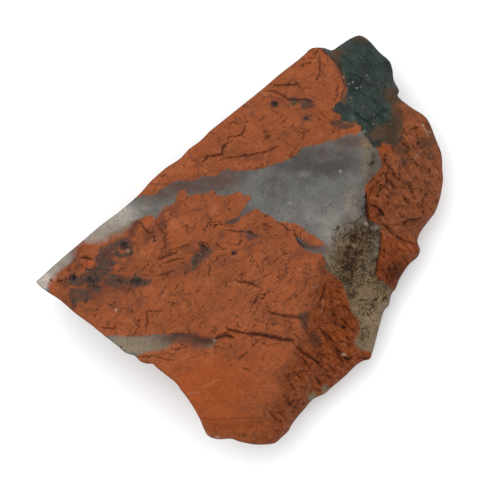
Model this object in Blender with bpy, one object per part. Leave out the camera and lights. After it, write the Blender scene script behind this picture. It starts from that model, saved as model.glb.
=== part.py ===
"""A rough red jasper: one broken block with a sawn face on top, lying on a small flat spot.

The stone is one closed solid. Its top is a plan drawing with heights: the sawn face is flat, and the
natural skin falls away from it to the right. Its sides run down from the outline to a smaller foot,
and its underside rises from the flat spot to that foot.
"""

import bpy
import numpy as np
from mathutils import bvhtree, geometry, noise

# Driving dimensions, in metres
LENGTH = 0.066  # along the long straight edge
THICKNESS = 0.015
LONG_EDGE_ANGLE = np.radians(40.0)  # how the long straight edge lies on the plan; it ends up along X

# How fine the solid is, in metres
OUTLINE_STEP = 0.00135
SKIN_STEP = 0.00082
SAWN_STEP = 0.0021
UNDERSIDE_STEP = 0.0020
SIDE_ROWS = 7
CURVE_POINTS = 12  # how many points a curve gets between two given ones before it is cut into even steps
OUTLINE_CURVE_STEP = 2.5  # pixels
GRID_NUDGE = 0.2  # how far a grid's points are moved by chance, as a share of its step
SAME_POINT = 1e-6

# How far the mesh's points keep from borders and creases, and a crease's steps, as shares of a step
TOP_CLEARANCE = 0.6
UNDERSIDE_CLEARANCE = 0.55
CREASE_CLEARANCE = 0.7
CREASE_STEP = 1.5
INNER_RING = 0.92  # where the underside's ring of points lies, as a share of the foot's radius

# Plan: x to the right and y down, in pixels of the reference picture, which looks straight down on
# the stone. The outline goes clockwise from the left tip.
CENTRE = (240, 255)
OUTLINE = [
    (36, 282), (40, 278), (60, 260), (80, 243), (100, 226), (120, 211), (140, 193.5), (144, 189),
    (150, 182), (165, 168.5), (180, 158.5), (189, 149), (200, 141), (210, 131), (220, 123),
    (240, 107), (260, 91), (280, 74), (298, 60), (305, 54), (310, 49), (316, 47.5), (325, 48),
    (332, 50), (340, 45), (351, 38), (360, 35), (368, 39), (380, 52), (390, 61), (393, 70),
    (394, 79), (399.5, 91), (398, 95), (410, 106), (424, 115), (429, 121), (436, 138), (442, 154),
    (443, 170), (443.5, 180), (440, 200), (435, 213), (429, 221), (420, 234), (418, 242),
    (420.5, 250), (418, 257), (410, 264), (400, 279), (396, 289), (392, 294), (389, 306),
    (385, 310), (380, 326), (373, 352), (370, 359.5), (364, 361), (356, 366), (346, 376),
    (333, 387), (325, 394), (313, 400), (305, 409), (298, 417), (292, 425), (288, 432),
    (281, 438.5), (276, 443), (258, 445), (240, 442), (231, 439), (218, 439.5), (208, 436),
    (203, 427), (200, 419.5), (190, 402), (180, 388.5), (176, 383), (166, 375), (156, 367),
    (153, 364), (146, 363.5), (140, 361), (135, 356), (125, 352.5), (119, 347), (106, 337),
    (90, 324), (75, 313), (60, 300), (46, 291),
]
ALONG_EDGE = [x * np.cos(LONG_EDGE_ANGLE) - y * np.sin(LONG_EDGE_ANGLE) for x, y in OUTLINE]
PLAN_UNIT = LENGTH / (max(ALONG_EDGE) - min(ALONG_EDGE))  # metres for one pixel of the plan, about 0.16 mm
MM = 1000 * PLAN_UNIT  # millimetres for one pixel of the plan

# How far the top has dropped below the sawn face, in millimetres, at points (x, y, drop) of the plan.
# Each chain is a crease: the top is flat between neighbouring chains and spots.
RIM_DROPS = [
    (24, 284, 0.5), (45, 258, 0.0), (90, 220, 0.0), (132, 184, 0.0), (146, 172, 1.2), (176, 146, 1.3),
    (196, 132, 0.1), (240, 96, 0.0), (290, 54, 0.0), (312, 38, 0.5), (330, 40, 3.0), (345, 33, 3.8),
    (361, 26, 4.6), (376, 37, 5.4), (399, 58, 6.4), (403, 80, 6.8), (412, 94, 6.2), (432, 108, 5.9),
    (449, 146, 7.0), (454, 178, 7.4), (449, 208, 7.6), (430, 237, 8.0), (431, 250, 7.4),
    (426, 263, 8.6), (404, 292, 9.2), (396, 318, 9.0), (383, 360, 8.8), (362, 374, 8.8),
    (340, 394, 9.2), (316, 412, 9.0), (300, 432, 8.0), (282, 454, 5.4), (258, 456, 3.3),
    (218, 451, 2.7), (198, 440, 2.0), (188, 418, 0.1), (166, 386, 0.0), (130, 366, 0.0), (80, 330, 0.0),
    (38, 298, 0.0),
]
CREASES = {
    "long edge chamfer": [
        (141, 196, 0.0), (160, 184, 0.0), (177, 171, 0.0), (187, 158, 0.0), (203, 139, 0.0),
    ],
    "red over green, brow": [(319, 46, 0.3), (326, 62, 0.0), (335, 80, 0.0), (342, 96, 0.0)],
    "red over green, lip": [(323, 47, 1.0), (334, 61, 0.9), (341, 74, 0.8), (346, 88, 0.7), (346, 97, 0.4)],
    "red over green, foot": [(326, 46, 2.6), (338, 60, 2.3), (345, 74, 2.0), (350, 89, 1.5), (349, 98, 0.8)],
    "edge of the sawn face": [
        (349, 98, 0.8), (348, 112, 0.0), (362, 136, 0.0), (369, 150, 0.0), (368, 168, 0.0),
        (360, 190, 0.0), (349, 206, 0.0), (341, 220, 0.0), (330, 243, 0.0), (325, 262, 0.0),
        (320, 276, 0.0), (308, 292, 0.0), (303, 313, 0.0), (299, 335, 0.0), (291, 348, 0.0),
        (284, 362, 0.0), (277, 380, 0.0), (270, 401, 0.0), (264, 416, 0.0),
    ],
    "bottom bevel": [(196, 418, 0.0), (212, 419, 0.0), (230, 418, 0.0), (248, 417, 0.0), (264, 416, 0.0)],
    "bevel corner": [(264, 416, 0.1), (270, 428, 1.2), (276, 446, 3.2)],
    "lobe brow": [(380, 152, 1.0), (378, 174, 0.9), (370, 186, 0.5), (369, 203, 0.7), (373, 220, 1.7)],
    "lobe foot": [(374, 152, 0.8), (371, 176, 1.1), (365, 188, 0.8), (364, 206, 1.2), (366, 221, 2.3)],
    "lobe shoulder": [
        (402, 106, 4.2), (421, 121, 4.6), (431, 143, 5.0), (435, 170, 5.2), (430, 199, 5.2), (421, 215, 5.0),
    ],
    "ledge lip": [(400, 222, 3.1), (404, 218, 3.3), (421, 216, 4.9), (427, 217, 5.6)],
    "ledge foot": [(400, 225, 4.4), (405, 222, 4.9), (419, 221, 6.0), (426, 221, 6.6)],
    "gap under the lobe": [
        (372, 224, 3.2), (384, 227, 3.8), (397, 238, 4.7), (414, 244, 6.0), (420, 245, 6.6),
    ],
    "block ridge": [(381, 235, 3.2), (394, 243, 3.7), (411, 249, 4.5), (419, 251, 5.6)],
    "block flank": [(381, 262, 4.6), (396, 262, 5.8), (410, 259, 6.6)],
    "block side": [(377, 238, 4.2), (375, 262, 5.0), (377, 280, 6.0), (390, 290, 7.4)],
    "slope shelf": [
        (326, 292, 1.2), (322, 312, 1.5), (316, 333, 1.7), (306, 352, 1.4), (294, 375, 1.3), (282, 402, 1.3),
    ],
    "slope shelf foot": [
        (337, 296, 2.3), (333, 322, 2.9), (325, 346, 3.4), (316, 368, 3.6), (302, 392, 3.5), (285, 420, 3.0),
    ],
}
SPOT_DROPS = [
    (338, 54, 2.9), (350, 60, 2.7), (364, 50, 4.0), (362, 70, 2.9), (376, 64, 4.5), (384, 72, 5.3),
    (360, 92, 1.7), (376, 90, 3.4), (386, 86, 5.0), (392, 98, 4.8), (364, 112, 0.9), (380, 116, 2.4),
    (372, 134, 0.9), (390, 134, 2.8),
    (386, 158, 1.2), (402, 150, 2.6), (398, 172, 1.6), (414, 166, 3.3), (420, 186, 3.7), (390, 196, 1.7),
    (406, 204, 2.9), (384, 214, 2.3), (392, 222, 3.2), (412, 232, 6.0), (400, 230, 4.5),
    (356, 214, 1.0), (362, 232, 2.4), (346, 236, 1.1), (354, 256, 2.4), (342, 264, 1.5), (364, 270, 4.1),
    (350, 282, 2.8), (364, 296, 4.6), (378, 300, 6.6), (352, 312, 4.0), (364, 326, 5.6), (354, 340, 5.0),
    (364, 350, 7.2), (340, 356, 5.3), (330, 376, 6.4), (312, 392, 6.2),
    (292, 412, 4.6), (250, 436, 1.5), (225, 432, 1.2),
]

# Underside: heights above the ground in millimetres at (x, y, height) of the plan. What comes out below
# the ground is worn away, which leaves the flat spot that the stone rests on.
FLAT_SPOT = [
    (150, 272, -0.1), (186, 252, -0.1), (204, 226, -0.2), (250, 210, -0.1), (286, 222, -0.3),
    (322, 214, -0.1), (332, 256, -0.2), (306, 282, -0.1), (314, 318, -0.2), (276, 344, -0.1),
    (236, 326, -0.3), (190, 338, -0.1),
]
UNDERSIDE_RIM = [
    (20, 288, 5.2), (100, 212, 3.6), (180, 140, 2.9), (270, 60, 3.4), (330, 20, 5.0),
    (372, 22, 5.6), (410, 80, 4.4), (460, 150, 3.6), (456, 220, 2.9), (430, 270, 2.6),
    (402, 330, 2.2), (370, 378, 2.4), (316, 424, 2.8), (262, 462, 3.2), (196, 448, 3.4),
    (160, 390, 2.6), (100, 346, 3.2), (50, 308, 4.4),
]
UNDERSIDE_CREASES = {
    "towards the tip": [(150, 272, -0.1), (118, 286, 0.5), (84, 282, 1.5), (48, 284, 3.2)],
    "towards the long edge": [(204, 226, -0.2), (206, 190, 0.5), (222, 156, 0.9), (226, 122, 2.2)],
    "towards the top corner": [(322, 214, -0.1), (330, 168, 0.6), (322, 118, 1.1), (336, 70, 2.6)],
    "towards the lobe": [(332, 256, -0.2), (372, 242, 0.5), (412, 214, 1.4)],
    "towards the lower right": [(314, 318, -0.2), (334, 344, 0.8), (352, 366, 1.6)],
    "towards the bottom": [(236, 326, -0.3), (238, 372, 0.4), (222, 418, 1.5), (214, 444, 2.8)],
}
UNDERSIDE_SPOTS = [
    (110, 250, 1.7), (150, 214, 1.3), (180, 180, 1.6), (270, 160, 1.7), (290, 110, 2.3), (372, 120, 3.3),
    (372, 180, 1.9), (400, 246, 1.8), (374, 290, 1.6), (290, 385, 1.9), (262, 410, 2.3), (190, 380, 1.7),
    (150, 320, 1.3), (104, 316, 2.1),
]

# How far the foot is drawn in towards the centre, as a share of the radius, at bearings in degrees
FOOT_INSETS = [
    (-180, 0.05), (-150, 0.06), (-120, 0.09), (-90, 0.12), (-60, 0.13), (-30, 0.11), (0, 0.10),
    (25, 0.12), (55, 0.15), (70, 0.08), (90, 0.035), (150, 0.03), (180, 0.05),
]
# How rough the sides are, in millimetres, at the same kind of bearings
SIDE_RELIEF = [
    (-180, 0.3), (-150, 0.4), (-120, 0.8), (-60, 1.0), (0, 1.0), (55, 0.9), (70, 0.5), (90, 0.25),
    (150, 0.25), (180, 0.3),
]

# Bowls left by breaking: (how far apart their middles are, how deep they are), in millimetres
BOWL_SHARPNESS = 1.5
SKIN_BOWLS = [(4.6, 0.60), (2.1, 0.32)]
SIDE_BOWLS = [(5.6, 0.85), (2.6, 0.40)]  # their depth is multiplied by SIDE_RELIEF
UNDERSIDE_BOWLS = [(6.8, 0.60), (3.0, 0.25)]
UNDERSIDE_WAVES = (5, 0.25)
# How far beyond the flat spot the underside's bowls and waves reach their full depth, in pixels
FULL_BOWLS = 24
FULL_WAVES = 8
# How wide and deep the rounding is where a face turns into the side, in millimetres
SAWN_TURN = (0.3, 0.2)
SKIN_TURN = (1.4, 0.9)
FOOT_TURN_WIDTH = 2.4
FOOT_TURN_DEPTH = 0.9
NOTCH_REACH = 2.6  # notches of the rim shorter than this don't run down to the foot
# How a side goes in on its way down: an even share, a share that grows towards the foot, and its power
SIDE_BOW = (0.45, 0.55, 1.7)
SIDE_FADE = 0.6  # how soon a side's bowls reach their full depth, 0 at once
SKIN_EDGE = 8.0  # how wide the change from sawn face to natural skin is, in pixels
# How far the top's creases wander, in pixels: on the sawn face, and how much further on the skin
WANDER = (0.5, 1.7)
WANDER_SIZE = 3.6  # millimetres
FULL_WANDER = 14  # pixels from the rim
TOP_SOFTENING = 1.2  # how far creases are rounded, in pixels
UNDERSIDE_SOFTENING = 2.0
SMOOTH_FACET = [(322, 40), (352, 30), (380, 48), (396, 86), (388, 108), (366, 122), (348, 104), (338, 74)]
SMOOTH_FACET_SHARE = 0.4
GRAIN_ANGLE = np.radians(48.0)  # the broken skin's steps run down to the right on the plan
GRAIN_STRETCH = 1.7

SEED_SHIFT = np.array([17.3, -11.9, 5.1])  # how far apart two seeds read the noise
NOISE_DECAY = 0.9

RAY_START = 99.0  # a height above all of the stone, in millimetres

STONE_COLOUR = (0.30, 0.085, 0.030, 1.0)
STONE_ROUGHNESS = 0.62


# Plan geometry


def smooth_loop(points, step):
    """Points at even steps along the closed centripetal Catmull-Rom curve through the given ones."""
    points = np.array(points, float)
    fine = []
    for i in range(len(points)):
        p0, p1, p2, p3 = (points[(i + k) % len(points)] for k in (-1, 0, 1, 2))
        t1 = np.linalg.norm(p1 - p0) ** 0.5
        t2 = t1 + np.linalg.norm(p2 - p1) ** 0.5
        t3 = t2 + np.linalg.norm(p3 - p2) ** 0.5
        for t in np.linspace(t1, t2, CURVE_POINTS, endpoint=False):
            a1 = ((t1 - t) * p0 + t * p1) / t1
            a2 = ((t2 - t) * p1 + (t - t1) * p2) / (t2 - t1)
            a3 = ((t3 - t) * p2 + (t - t2) * p3) / (t3 - t2)
            b1 = ((t2 - t) * a1 + t * a2) / t2
            b2 = ((t3 - t) * a2 + (t - t1) * a3) / (t3 - t1)
            fine.append(((t2 - t) * b1 + (t - t1) * b2) / (t2 - t1))
    return even_steps(np.array(fine + fine[:1]), step)[:-1]


def even_steps(chain, step):
    """Points at even steps of about the given length along a chain, both of its ends included."""
    chain = np.array(chain, float)
    along = np.concatenate([[0], np.cumsum(np.linalg.norm(np.diff(chain, axis=0), axis=1))])
    at = np.linspace(0, along[-1], max(round(along[-1] / step), 1) + 1)
    return np.stack([np.interp(at, along, column) for column in chain.T], axis=1)


def distance_to_chain(points, chain, closed=False):
    """Each point's distance to the nearest of the chain's segments."""
    chain = np.array(chain, float)[:, :2]
    ends = np.roll(chain, -1, axis=0) if closed else chain[1:]
    best = np.full(len(points), np.inf)
    for a, b in zip(chain, ends):
        run = b - a
        share = np.clip(((points - a) @ run) / (run @ run), 0, 1)
        best = np.minimum(best, np.linalg.norm(points - a - share[:, None] * run, axis=1))
    return best


def inside_loop(points, loop):
    """True for each point that lies inside the closed loop."""
    loop = np.array(loop, float)[:, :2]
    crossings = np.zeros(len(points), int)
    x, y = points.T
    for (x1, y1), (x2, y2) in zip(loop, np.roll(loop, -1, axis=0)):
        spans = (y1 > y) != (y2 > y)
        with np.errstate(divide="ignore", invalid="ignore"):
            crossings += spans & (x < x1 + (y - y1) / (y2 - y1) * (x2 - x1))
    return crossings % 2 == 1


def scatter(loop, step, seed):
    """Points about a step apart over the loop's box: a grid whose points are nudged by chance."""
    low, high = loop.min(axis=0), loop.max(axis=0)
    rows = np.arange(low[1], high[1], step * 3**0.5 / 2)
    columns = np.arange(low[0], high[0], step)
    grid = np.array([(x + (i % 2) * step / 2, y) for i, y in enumerate(rows) for x in columns])
    return grid + np.random.default_rng(seed).uniform(-GRID_NUDGE, GRID_NUDGE, grid.shape) * step


def fill_loop(loop, spots, chains, clearance):
    """(points, triangles) of a mesh inside the loop, with edges along the chains.

    The loop's own points come first, in their order.
    """
    points = list(loop)
    edges = []
    keep = inside_loop(spots, loop) & (distance_to_chain(spots, loop, closed=True) > clearance)
    for chain in chains:
        keep &= distance_to_chain(spots, chain) > CREASE_CLEARANCE * clearance
        usable = inside_loop(chain, loop) & (distance_to_chain(chain, loop, closed=True) > clearance)
        for i, point in enumerate(chain):
            if usable[i]:
                edges += [(len(points) - 1, len(points))] if i and usable[i - 1] else []
                points.append(point)
    points += list(spots[keep])
    border = list(range(len(loop)))
    made = geometry.delaunay_2d_cdt([tuple(p) for p in points], edges, [border], 1, SAME_POINT)
    return np.array([tuple(v) for v in made[0]]), np.array(made[2])


# Relief


def in_space(points, height=0.0):
    """Plan points, with their height in millimetres, as points in space in millimetres."""
    return np.column_stack([points * MM, np.broadcast_to(height, len(points))])


def noise_at(points, size, seed, octaves=4):
    """Fractal noise of about -1 to 1 at each point, with lumps of the given size."""
    places = points / size + SEED_SHIFT * seed
    return np.array([noise.fractal(place, NOISE_DECAY, 2.0, octaves) for place in places.tolist()])


def bowls(points, sizes):
    """How deep the points lie in shallow bowls with sharp ridges between them."""
    depth = np.zeros(len(points))
    for seed, (size, deepest) in enumerate(sizes):
        places = points / size + SEED_SHIFT * seed
        near = np.array([noise.voronoi(place)[0][0] for place in places.tolist()])
        depth += deepest * (1 - np.minimum(BOWL_SHARPNESS * near**2, 1))
    return depth


def smoothstep(x, low, high):
    t = np.clip((x - low) / (high - low), 0, 1)
    return t * t * (3 - 2 * t)


# Heights


def chains_to_cage(loops, chains, spots):
    """A search tree of the flat pieces between the chains and spots, whose third number is their height."""
    points, edges = [], []
    for chain, closed in [(c, True) for c in loops] + [(c, False) for c in chains]:
        first = len(points)
        points += chain
        edges += [(first + i, first + i + 1) for i in range(len(chain) - 1)]
        edges += [(len(points) - 1, first)] if closed else []
    points = np.array(points + spots, float)
    flat = [tuple(p[:2]) for p in points]
    places, _, faces, came_from, *_ = geometry.delaunay_2d_cdt(flat, edges, [], 0, SAME_POINT)
    corners = []
    for place, sources in zip(places, came_from):
        nearest = np.argmin(np.linalg.norm(points[:, :2] - place, axis=1))
        corners.append((*place, points[sources[0] if sources else nearest, 2]))
    return bvhtree.BVHTree.FromPolygons(corners, faces)


def cage_height(points, cage):
    """The height of the cage at each plan point, 0 outside it."""
    hits = [cage.ray_cast((x, y, RAY_START), (0, 0, -1))[0] for x, y in points]
    return np.array([hit.z if hit else 0.0 for hit in hits])


def softened_cage(points, cage, radius):
    """The cage's height, averaged over a small hexagon, so that its creases are rounded."""
    turns = np.radians(np.arange(0, 360, 60))
    offsets = radius * np.column_stack([np.cos(turns), np.sin(turns)])
    return sum(cage_height(points + offset, cage) for offset in [np.zeros(2), *offsets]) / 7


TOP_CAGE = chains_to_cage([RIM_DROPS], list(CREASES.values()), SPOT_DROPS)
UNDERSIDE_CAGE = chains_to_cage(
    [UNDERSIDE_RIM, FLAT_SPOT], list(UNDERSIDE_CREASES.values()), UNDERSIDE_SPOTS
)
OUTLINE_CURVE = smooth_loop(OUTLINE, OUTLINE_CURVE_STEP)
SAWN_FACE = (
    OUTLINE[:OUTLINE.index((316, 47.5)) + 1]
    + [p[:2] for p in CREASES["red over green, lip"]]
    + [p[:2] for p in CREASES["edge of the sawn face"]]
    + OUTLINE[OUTLINE.index((200, 419.5)):]
)


def natural_skin(points):
    """0 on the sawn face, rising to 1 on the natural skin beyond its edge."""
    outside = ~inside_loop(points, SAWN_FACE)
    return smoothstep(distance_to_chain(points, SAWN_FACE, closed=True) * outside, 0, SKIN_EDGE)


def along_grain(points):
    """Points in space, turned and squeezed so that what is made from them is stretched along the grain."""
    x, y, z = points.T
    along = x * np.cos(GRAIN_ANGLE) + y * np.sin(GRAIN_ANGLE)
    across = y * np.cos(GRAIN_ANGLE) - x * np.sin(GRAIN_ANGLE)
    return np.column_stack([along / GRAIN_STRETCH, across, z])


def top_surface(points):
    """Points of the top, as plan position and height in millimetres, for points of the cage's plan."""
    skin = natural_skin(points)
    to_rim = distance_to_chain(points, OUTLINE_CURVE, closed=True)
    shift = np.column_stack([noise_at(in_space(points), WANDER_SIZE, seed) for seed in (1, 2)])
    wander = (WANDER[0] + WANDER[1] * skin) * smoothstep(to_rim, 0, FULL_WANDER)
    moved = points + wander[:, None] * shift
    rough = 1 - (1 - SMOOTH_FACET_SHARE) * inside_loop(points, SMOOTH_FACET)
    relief = skin * rough * bowls(along_grain(in_space(points)), SKIN_BOWLS)
    turn_width, turn_depth = (sawn + (grown - sawn) * skin for sawn, grown in zip(SAWN_TURN, SKIN_TURN))
    share = 1 - np.minimum(to_rim * MM / turn_width, 1)
    rounding = turn_depth * (1 - np.sqrt(1 - share**2))
    drop = softened_cage(points, TOP_CAGE, TOP_SOFTENING)
    return np.column_stack([moved, 1000 * THICKNESS - drop - relief - rounding])


def underside_surface(points):
    """Points of the underside, as plan position and height in millimetres."""
    away = distance_to_chain(points, FLAT_SPOT, closed=True) * ~inside_loop(points, FLAT_SPOT)
    space = in_space(points)
    relief = smoothstep(away, 0, FULL_BOWLS) * bowls(space, UNDERSIDE_BOWLS)
    wave_size, wave_depth = UNDERSIDE_WAVES
    relief += smoothstep(away, 0, FULL_WAVES) * wave_depth * noise_at(space, wave_size, 5)
    to_foot = distance_to_chain(points, foot_loop(OUTLINE_CURVE), closed=True) * MM
    share = 1 - np.minimum(to_foot / FOOT_TURN_WIDTH, 1)
    rounding = FOOT_TURN_DEPTH * (1 - np.sqrt(1 - share**2))
    height = softened_cage(points, UNDERSIDE_CAGE, UNDERSIDE_SOFTENING) + relief + rounding
    return np.column_stack([points, np.maximum(height, 0)])


def at_bearing(points, table):
    """The table's value at each point's bearing from the centre."""
    bearing = np.degrees(np.arctan2(CENTRE[1] - points[:, 1], points[:, 0] - CENTRE[0]))
    return np.interp(bearing, *np.transpose(table))


def foot_loop(rim):
    """The border of the underside: the rim without its small notches, drawn in towards the centre."""
    reach = round(NOTCH_REACH / MM / np.linalg.norm(rim[1] - rim[0]))
    even = sum(np.roll(rim, shift, axis=0) for shift in range(-reach, reach + 1)) / (2 * reach + 1)
    return CENTRE + (even - CENTRE) * (1 - at_bearing(rim, FOOT_INSETS))[:, None]


def side_rings(rim, foot, rows):
    """Rings of points from just below the rim to just above the foot, in plan units and millimetres."""
    relief = at_bearing(rim, SIDE_RELIEF) / MM
    outward = (rim - CENTRE) / np.linalg.norm(rim - CENTRE, axis=1)[:, None]
    top = top_surface(rim)[:, 2]
    bottom = underside_surface(foot)[:, 2]
    smooth, growing, power = SIDE_BOW
    made = []
    for t in np.arange(1, rows) / rows:
        bow = smooth * smoothstep(t, 0, 1) + growing * t**power
        ring = rim + (foot - rim) * bow
        height = top + (bottom - top) * t
        depth = bowls(in_space(ring, height), SIDE_BOWLS) * np.sin(np.pi * t) ** SIDE_FADE
        made.append(np.column_stack([ring - outward * (relief * depth)[:, None], height]))
    return made


# The solid


def top_mesh(rim):
    """(points, triangles) of the top, fine on the natural skin and coarse on the sawn face."""
    fine, coarse = SKIN_STEP / PLAN_UNIT, SAWN_STEP / PLAN_UNIT
    skin_spots = scatter(rim, fine, 1)
    sawn_spots = scatter(rim, coarse, 2)
    on_skin = ~inside_loop(skin_spots, SAWN_FACE)
    on_sawn = inside_loop(sawn_spots, SAWN_FACE) & (distance_to_chain(sawn_spots, SAWN_FACE) > fine)
    spots = np.concatenate([skin_spots[on_skin], sawn_spots[on_sawn]])
    chains = [even_steps([p[:2] for p in chain], CREASE_STEP * fine) for chain in CREASES.values()]
    return fill_loop(rim, spots, chains, TOP_CLEARANCE * fine)


def underside_mesh(foot):
    """(points, triangles) of the underside, with one ring of points where it turns into the side."""
    step = UNDERSIDE_STEP / PLAN_UNIT
    inner = CENTRE + (foot - CENTRE) * INNER_RING
    ring = np.concatenate([inner, inner[:1]])
    return fill_loop(foot, scatter(foot, step, 3), [ring], UNDERSIDE_CLEARANCE * step)


def stone_mesh():
    """(vertices in plan units and millimetres, faces) of the closed stone."""
    step = OUTLINE_STEP / PLAN_UNIT
    rim = smooth_loop(OUTLINE, step)
    foot = foot_loop(rim)
    count = len(rim)
    top_points, top_faces = top_mesh(rim)
    under_points, under_faces = underside_mesh(foot)
    rings = side_rings(rim, foot, SIDE_ROWS)
    vertices = np.concatenate([top_surface(top_points), *rings, underside_surface(under_points)])
    first_ring = len(top_points)
    first_under = first_ring + len(rings) * count
    starts = [0, *range(first_ring, first_under, count), first_under]
    # The plan's y runs down, so its triangles face the ground until they are turned over.
    faces = [tuple(face[::-1]) for face in top_faces]
    faces += [tuple(face + first_under) for face in under_faces]
    for upper, lower in zip(starts, starts[1:]):
        for i in range(count):
            j = (i + 1) % count
            faces.append((upper + i, lower + j, lower + i))
            faces.append((upper + i, upper + j, lower + j))
    return vertices, faces


def to_stone_frame(vertices):
    """Plan vertices in metres, with the long edge along X and the box's middle over the origin."""

    def turned(plan):
        x, y = plan[:, 0] * PLAN_UNIT, -plan[:, 1] * PLAN_UNIT
        cos, sin = np.cos(LONG_EDGE_ANGLE), np.sin(LONG_EDGE_ANGLE)
        return np.column_stack([x * cos + y * sin, -x * sin + y * cos])

    outline = turned(OUTLINE_CURVE)
    middle = (outline.min(axis=0) + outline.max(axis=0)) / 2
    return np.column_stack([turned(vertices[:, :2]) - middle, vertices[:, 2] / 1000])


def stone_material():
    material = bpy.data.materials.new("red_jasper")
    material.use_nodes = True
    shader = material.node_tree.nodes["Principled BSDF"]
    shader.inputs["Base Color"].default_value = STONE_COLOUR
    shader.inputs["Roughness"].default_value = STONE_ROUGHNESS
    shader.inputs["Metallic"].default_value = 0.0
    return material


def build_stone():
    vertices, faces = stone_mesh()
    mesh = bpy.data.meshes.new("jasper_stone")
    mesh.from_pydata(to_stone_frame(vertices).tolist(), [], [[int(i) for i in face] for face in faces])
    mesh.materials.append(stone_material())
    mesh.validate()
    stone = bpy.data.objects.new("jasper_stone", mesh)
    bpy.context.scene.collection.objects.link(stone)
    return stone


for old in list(bpy.data.objects):
    bpy.data.objects.remove(old)
build_stone()
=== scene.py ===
"""The looks of the rough red jasper: one finely broken stone, on a pale floor in soft light.

The stone is the CAD solid made again from the same plan and heights, with far more points, so that
it has cracks, pits, chips and grain. What each point is made of, such as chalcedony or the green
band, and where light and shade are painted on it, is worked out from outlines on the plan and kept
as values on the mesh, which the material reads. Everything on the plan is in pixels of the reference
picture, which looks straight down.
"""

import bpy
import numpy as np
from mathutils import Matrix, Vector, bvhtree, geometry, kdtree, noise


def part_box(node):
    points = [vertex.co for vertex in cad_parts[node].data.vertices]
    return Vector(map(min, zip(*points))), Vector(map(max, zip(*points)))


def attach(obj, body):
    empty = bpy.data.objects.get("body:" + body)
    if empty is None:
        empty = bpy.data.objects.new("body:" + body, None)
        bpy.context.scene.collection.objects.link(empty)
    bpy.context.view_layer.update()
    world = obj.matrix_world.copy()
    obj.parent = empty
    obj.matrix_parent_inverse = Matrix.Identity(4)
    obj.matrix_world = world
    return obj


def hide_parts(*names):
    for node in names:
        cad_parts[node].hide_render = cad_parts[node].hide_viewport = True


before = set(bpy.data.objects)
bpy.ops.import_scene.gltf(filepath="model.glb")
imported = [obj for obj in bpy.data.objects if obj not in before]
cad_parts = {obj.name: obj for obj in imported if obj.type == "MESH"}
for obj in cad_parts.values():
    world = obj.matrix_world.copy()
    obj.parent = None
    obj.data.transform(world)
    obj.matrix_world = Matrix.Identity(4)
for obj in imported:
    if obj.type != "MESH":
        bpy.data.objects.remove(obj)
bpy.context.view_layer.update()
cad_low, cad_high = (np.array(corner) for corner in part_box("jasper_stone"))

# How fine the stone's mesh is, in metres
RIM_STEP = 0.00030
SKIN_STEP = 0.00021
SAWN_STEP = 0.00026
UNDERSIDE_STEP = 0.00045
SIDE_ROWS = 30

LONG_EDGE_ANGLE = np.radians(40.0)  # how the long straight edge lies on the plan; it ends up along X
CAMERA_DISTANCE = 3.0  # metres; from further away the views from other sides would come out empty
PICTURE_SIZE = 480  # pixels, each way
MM_PER_M = 1000

# The lights and the floor, with lengths in metres
LAMP_SIDE = (-0.25, 0.43, 1.0)  # to the right, up in the picture and towards the camera
LAMP_DISTANCE = 1.5
LAMP_SIZE = 1.65
LAMP_POWER = 13.5
ROOM_LIGHT = 1.03
FLOOR_COLOUR = (0.968, 0.985, 0.99, 1.0)
ROOM_COLOUR = (1, 1, 1, 1)
FLOOR_REACH = 3.0

# The stone's plan and heights, as in the CAD: x to the right, y down, outline clockwise from the left tip
CENTRE = (240, 255)
OUTLINE = [
    (36, 282), (40, 278), (60, 260), (80, 243), (100, 226), (120, 211), (140, 193.5), (144, 189),
    (150, 182), (165, 168.5), (180, 158.5), (189, 149), (200, 141), (210, 131), (220, 123),
    (240, 107), (260, 91), (280, 74), (298, 60), (305, 54), (310, 49), (316, 47.5), (325, 48),
    (332, 50), (340, 45), (351, 38), (360, 35), (368, 39), (380, 52), (390, 61), (393, 70),
    (394, 79), (399.5, 91), (398, 95), (410, 106), (424, 115), (429, 121), (436, 138), (442, 154),
    (443, 170), (443.5, 180), (440, 200), (435, 213), (429, 221), (420, 234), (418, 242),
    (420.5, 250), (418, 257), (410, 264), (400, 279), (396, 289), (392, 294), (389, 306),
    (385, 310), (380, 326), (373, 352), (370, 359.5), (364, 361), (356, 366), (346, 376),
    (333, 387), (325, 394), (313, 400), (305, 409), (298, 417), (292, 425), (288, 432),
    (281, 438.5), (276, 443), (258, 445), (240, 442), (231, 439), (218, 439.5), (208, 436),
    (203, 427), (200, 419.5), (190, 402), (180, 388.5), (176, 383), (166, 375), (156, 367),
    (153, 364), (146, 363.5), (140, 361), (135, 356), (125, 352.5), (119, 347), (106, 337),
    (90, 324), (75, 313), (60, 300), (46, 291),
]
ALONG_EDGE = [x * np.cos(LONG_EDGE_ANGLE) - y * np.sin(LONG_EDGE_ANGLE) for x, y in OUTLINE]
PLAN_UNIT = (cad_high[0] - cad_low[0]) / (max(ALONG_EDGE) - min(ALONG_EDGE))  # metres for one pixel
THICKNESS = cad_high[2]
MM = MM_PER_M * PLAN_UNIT  # millimetres for one pixel of the plan

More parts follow.
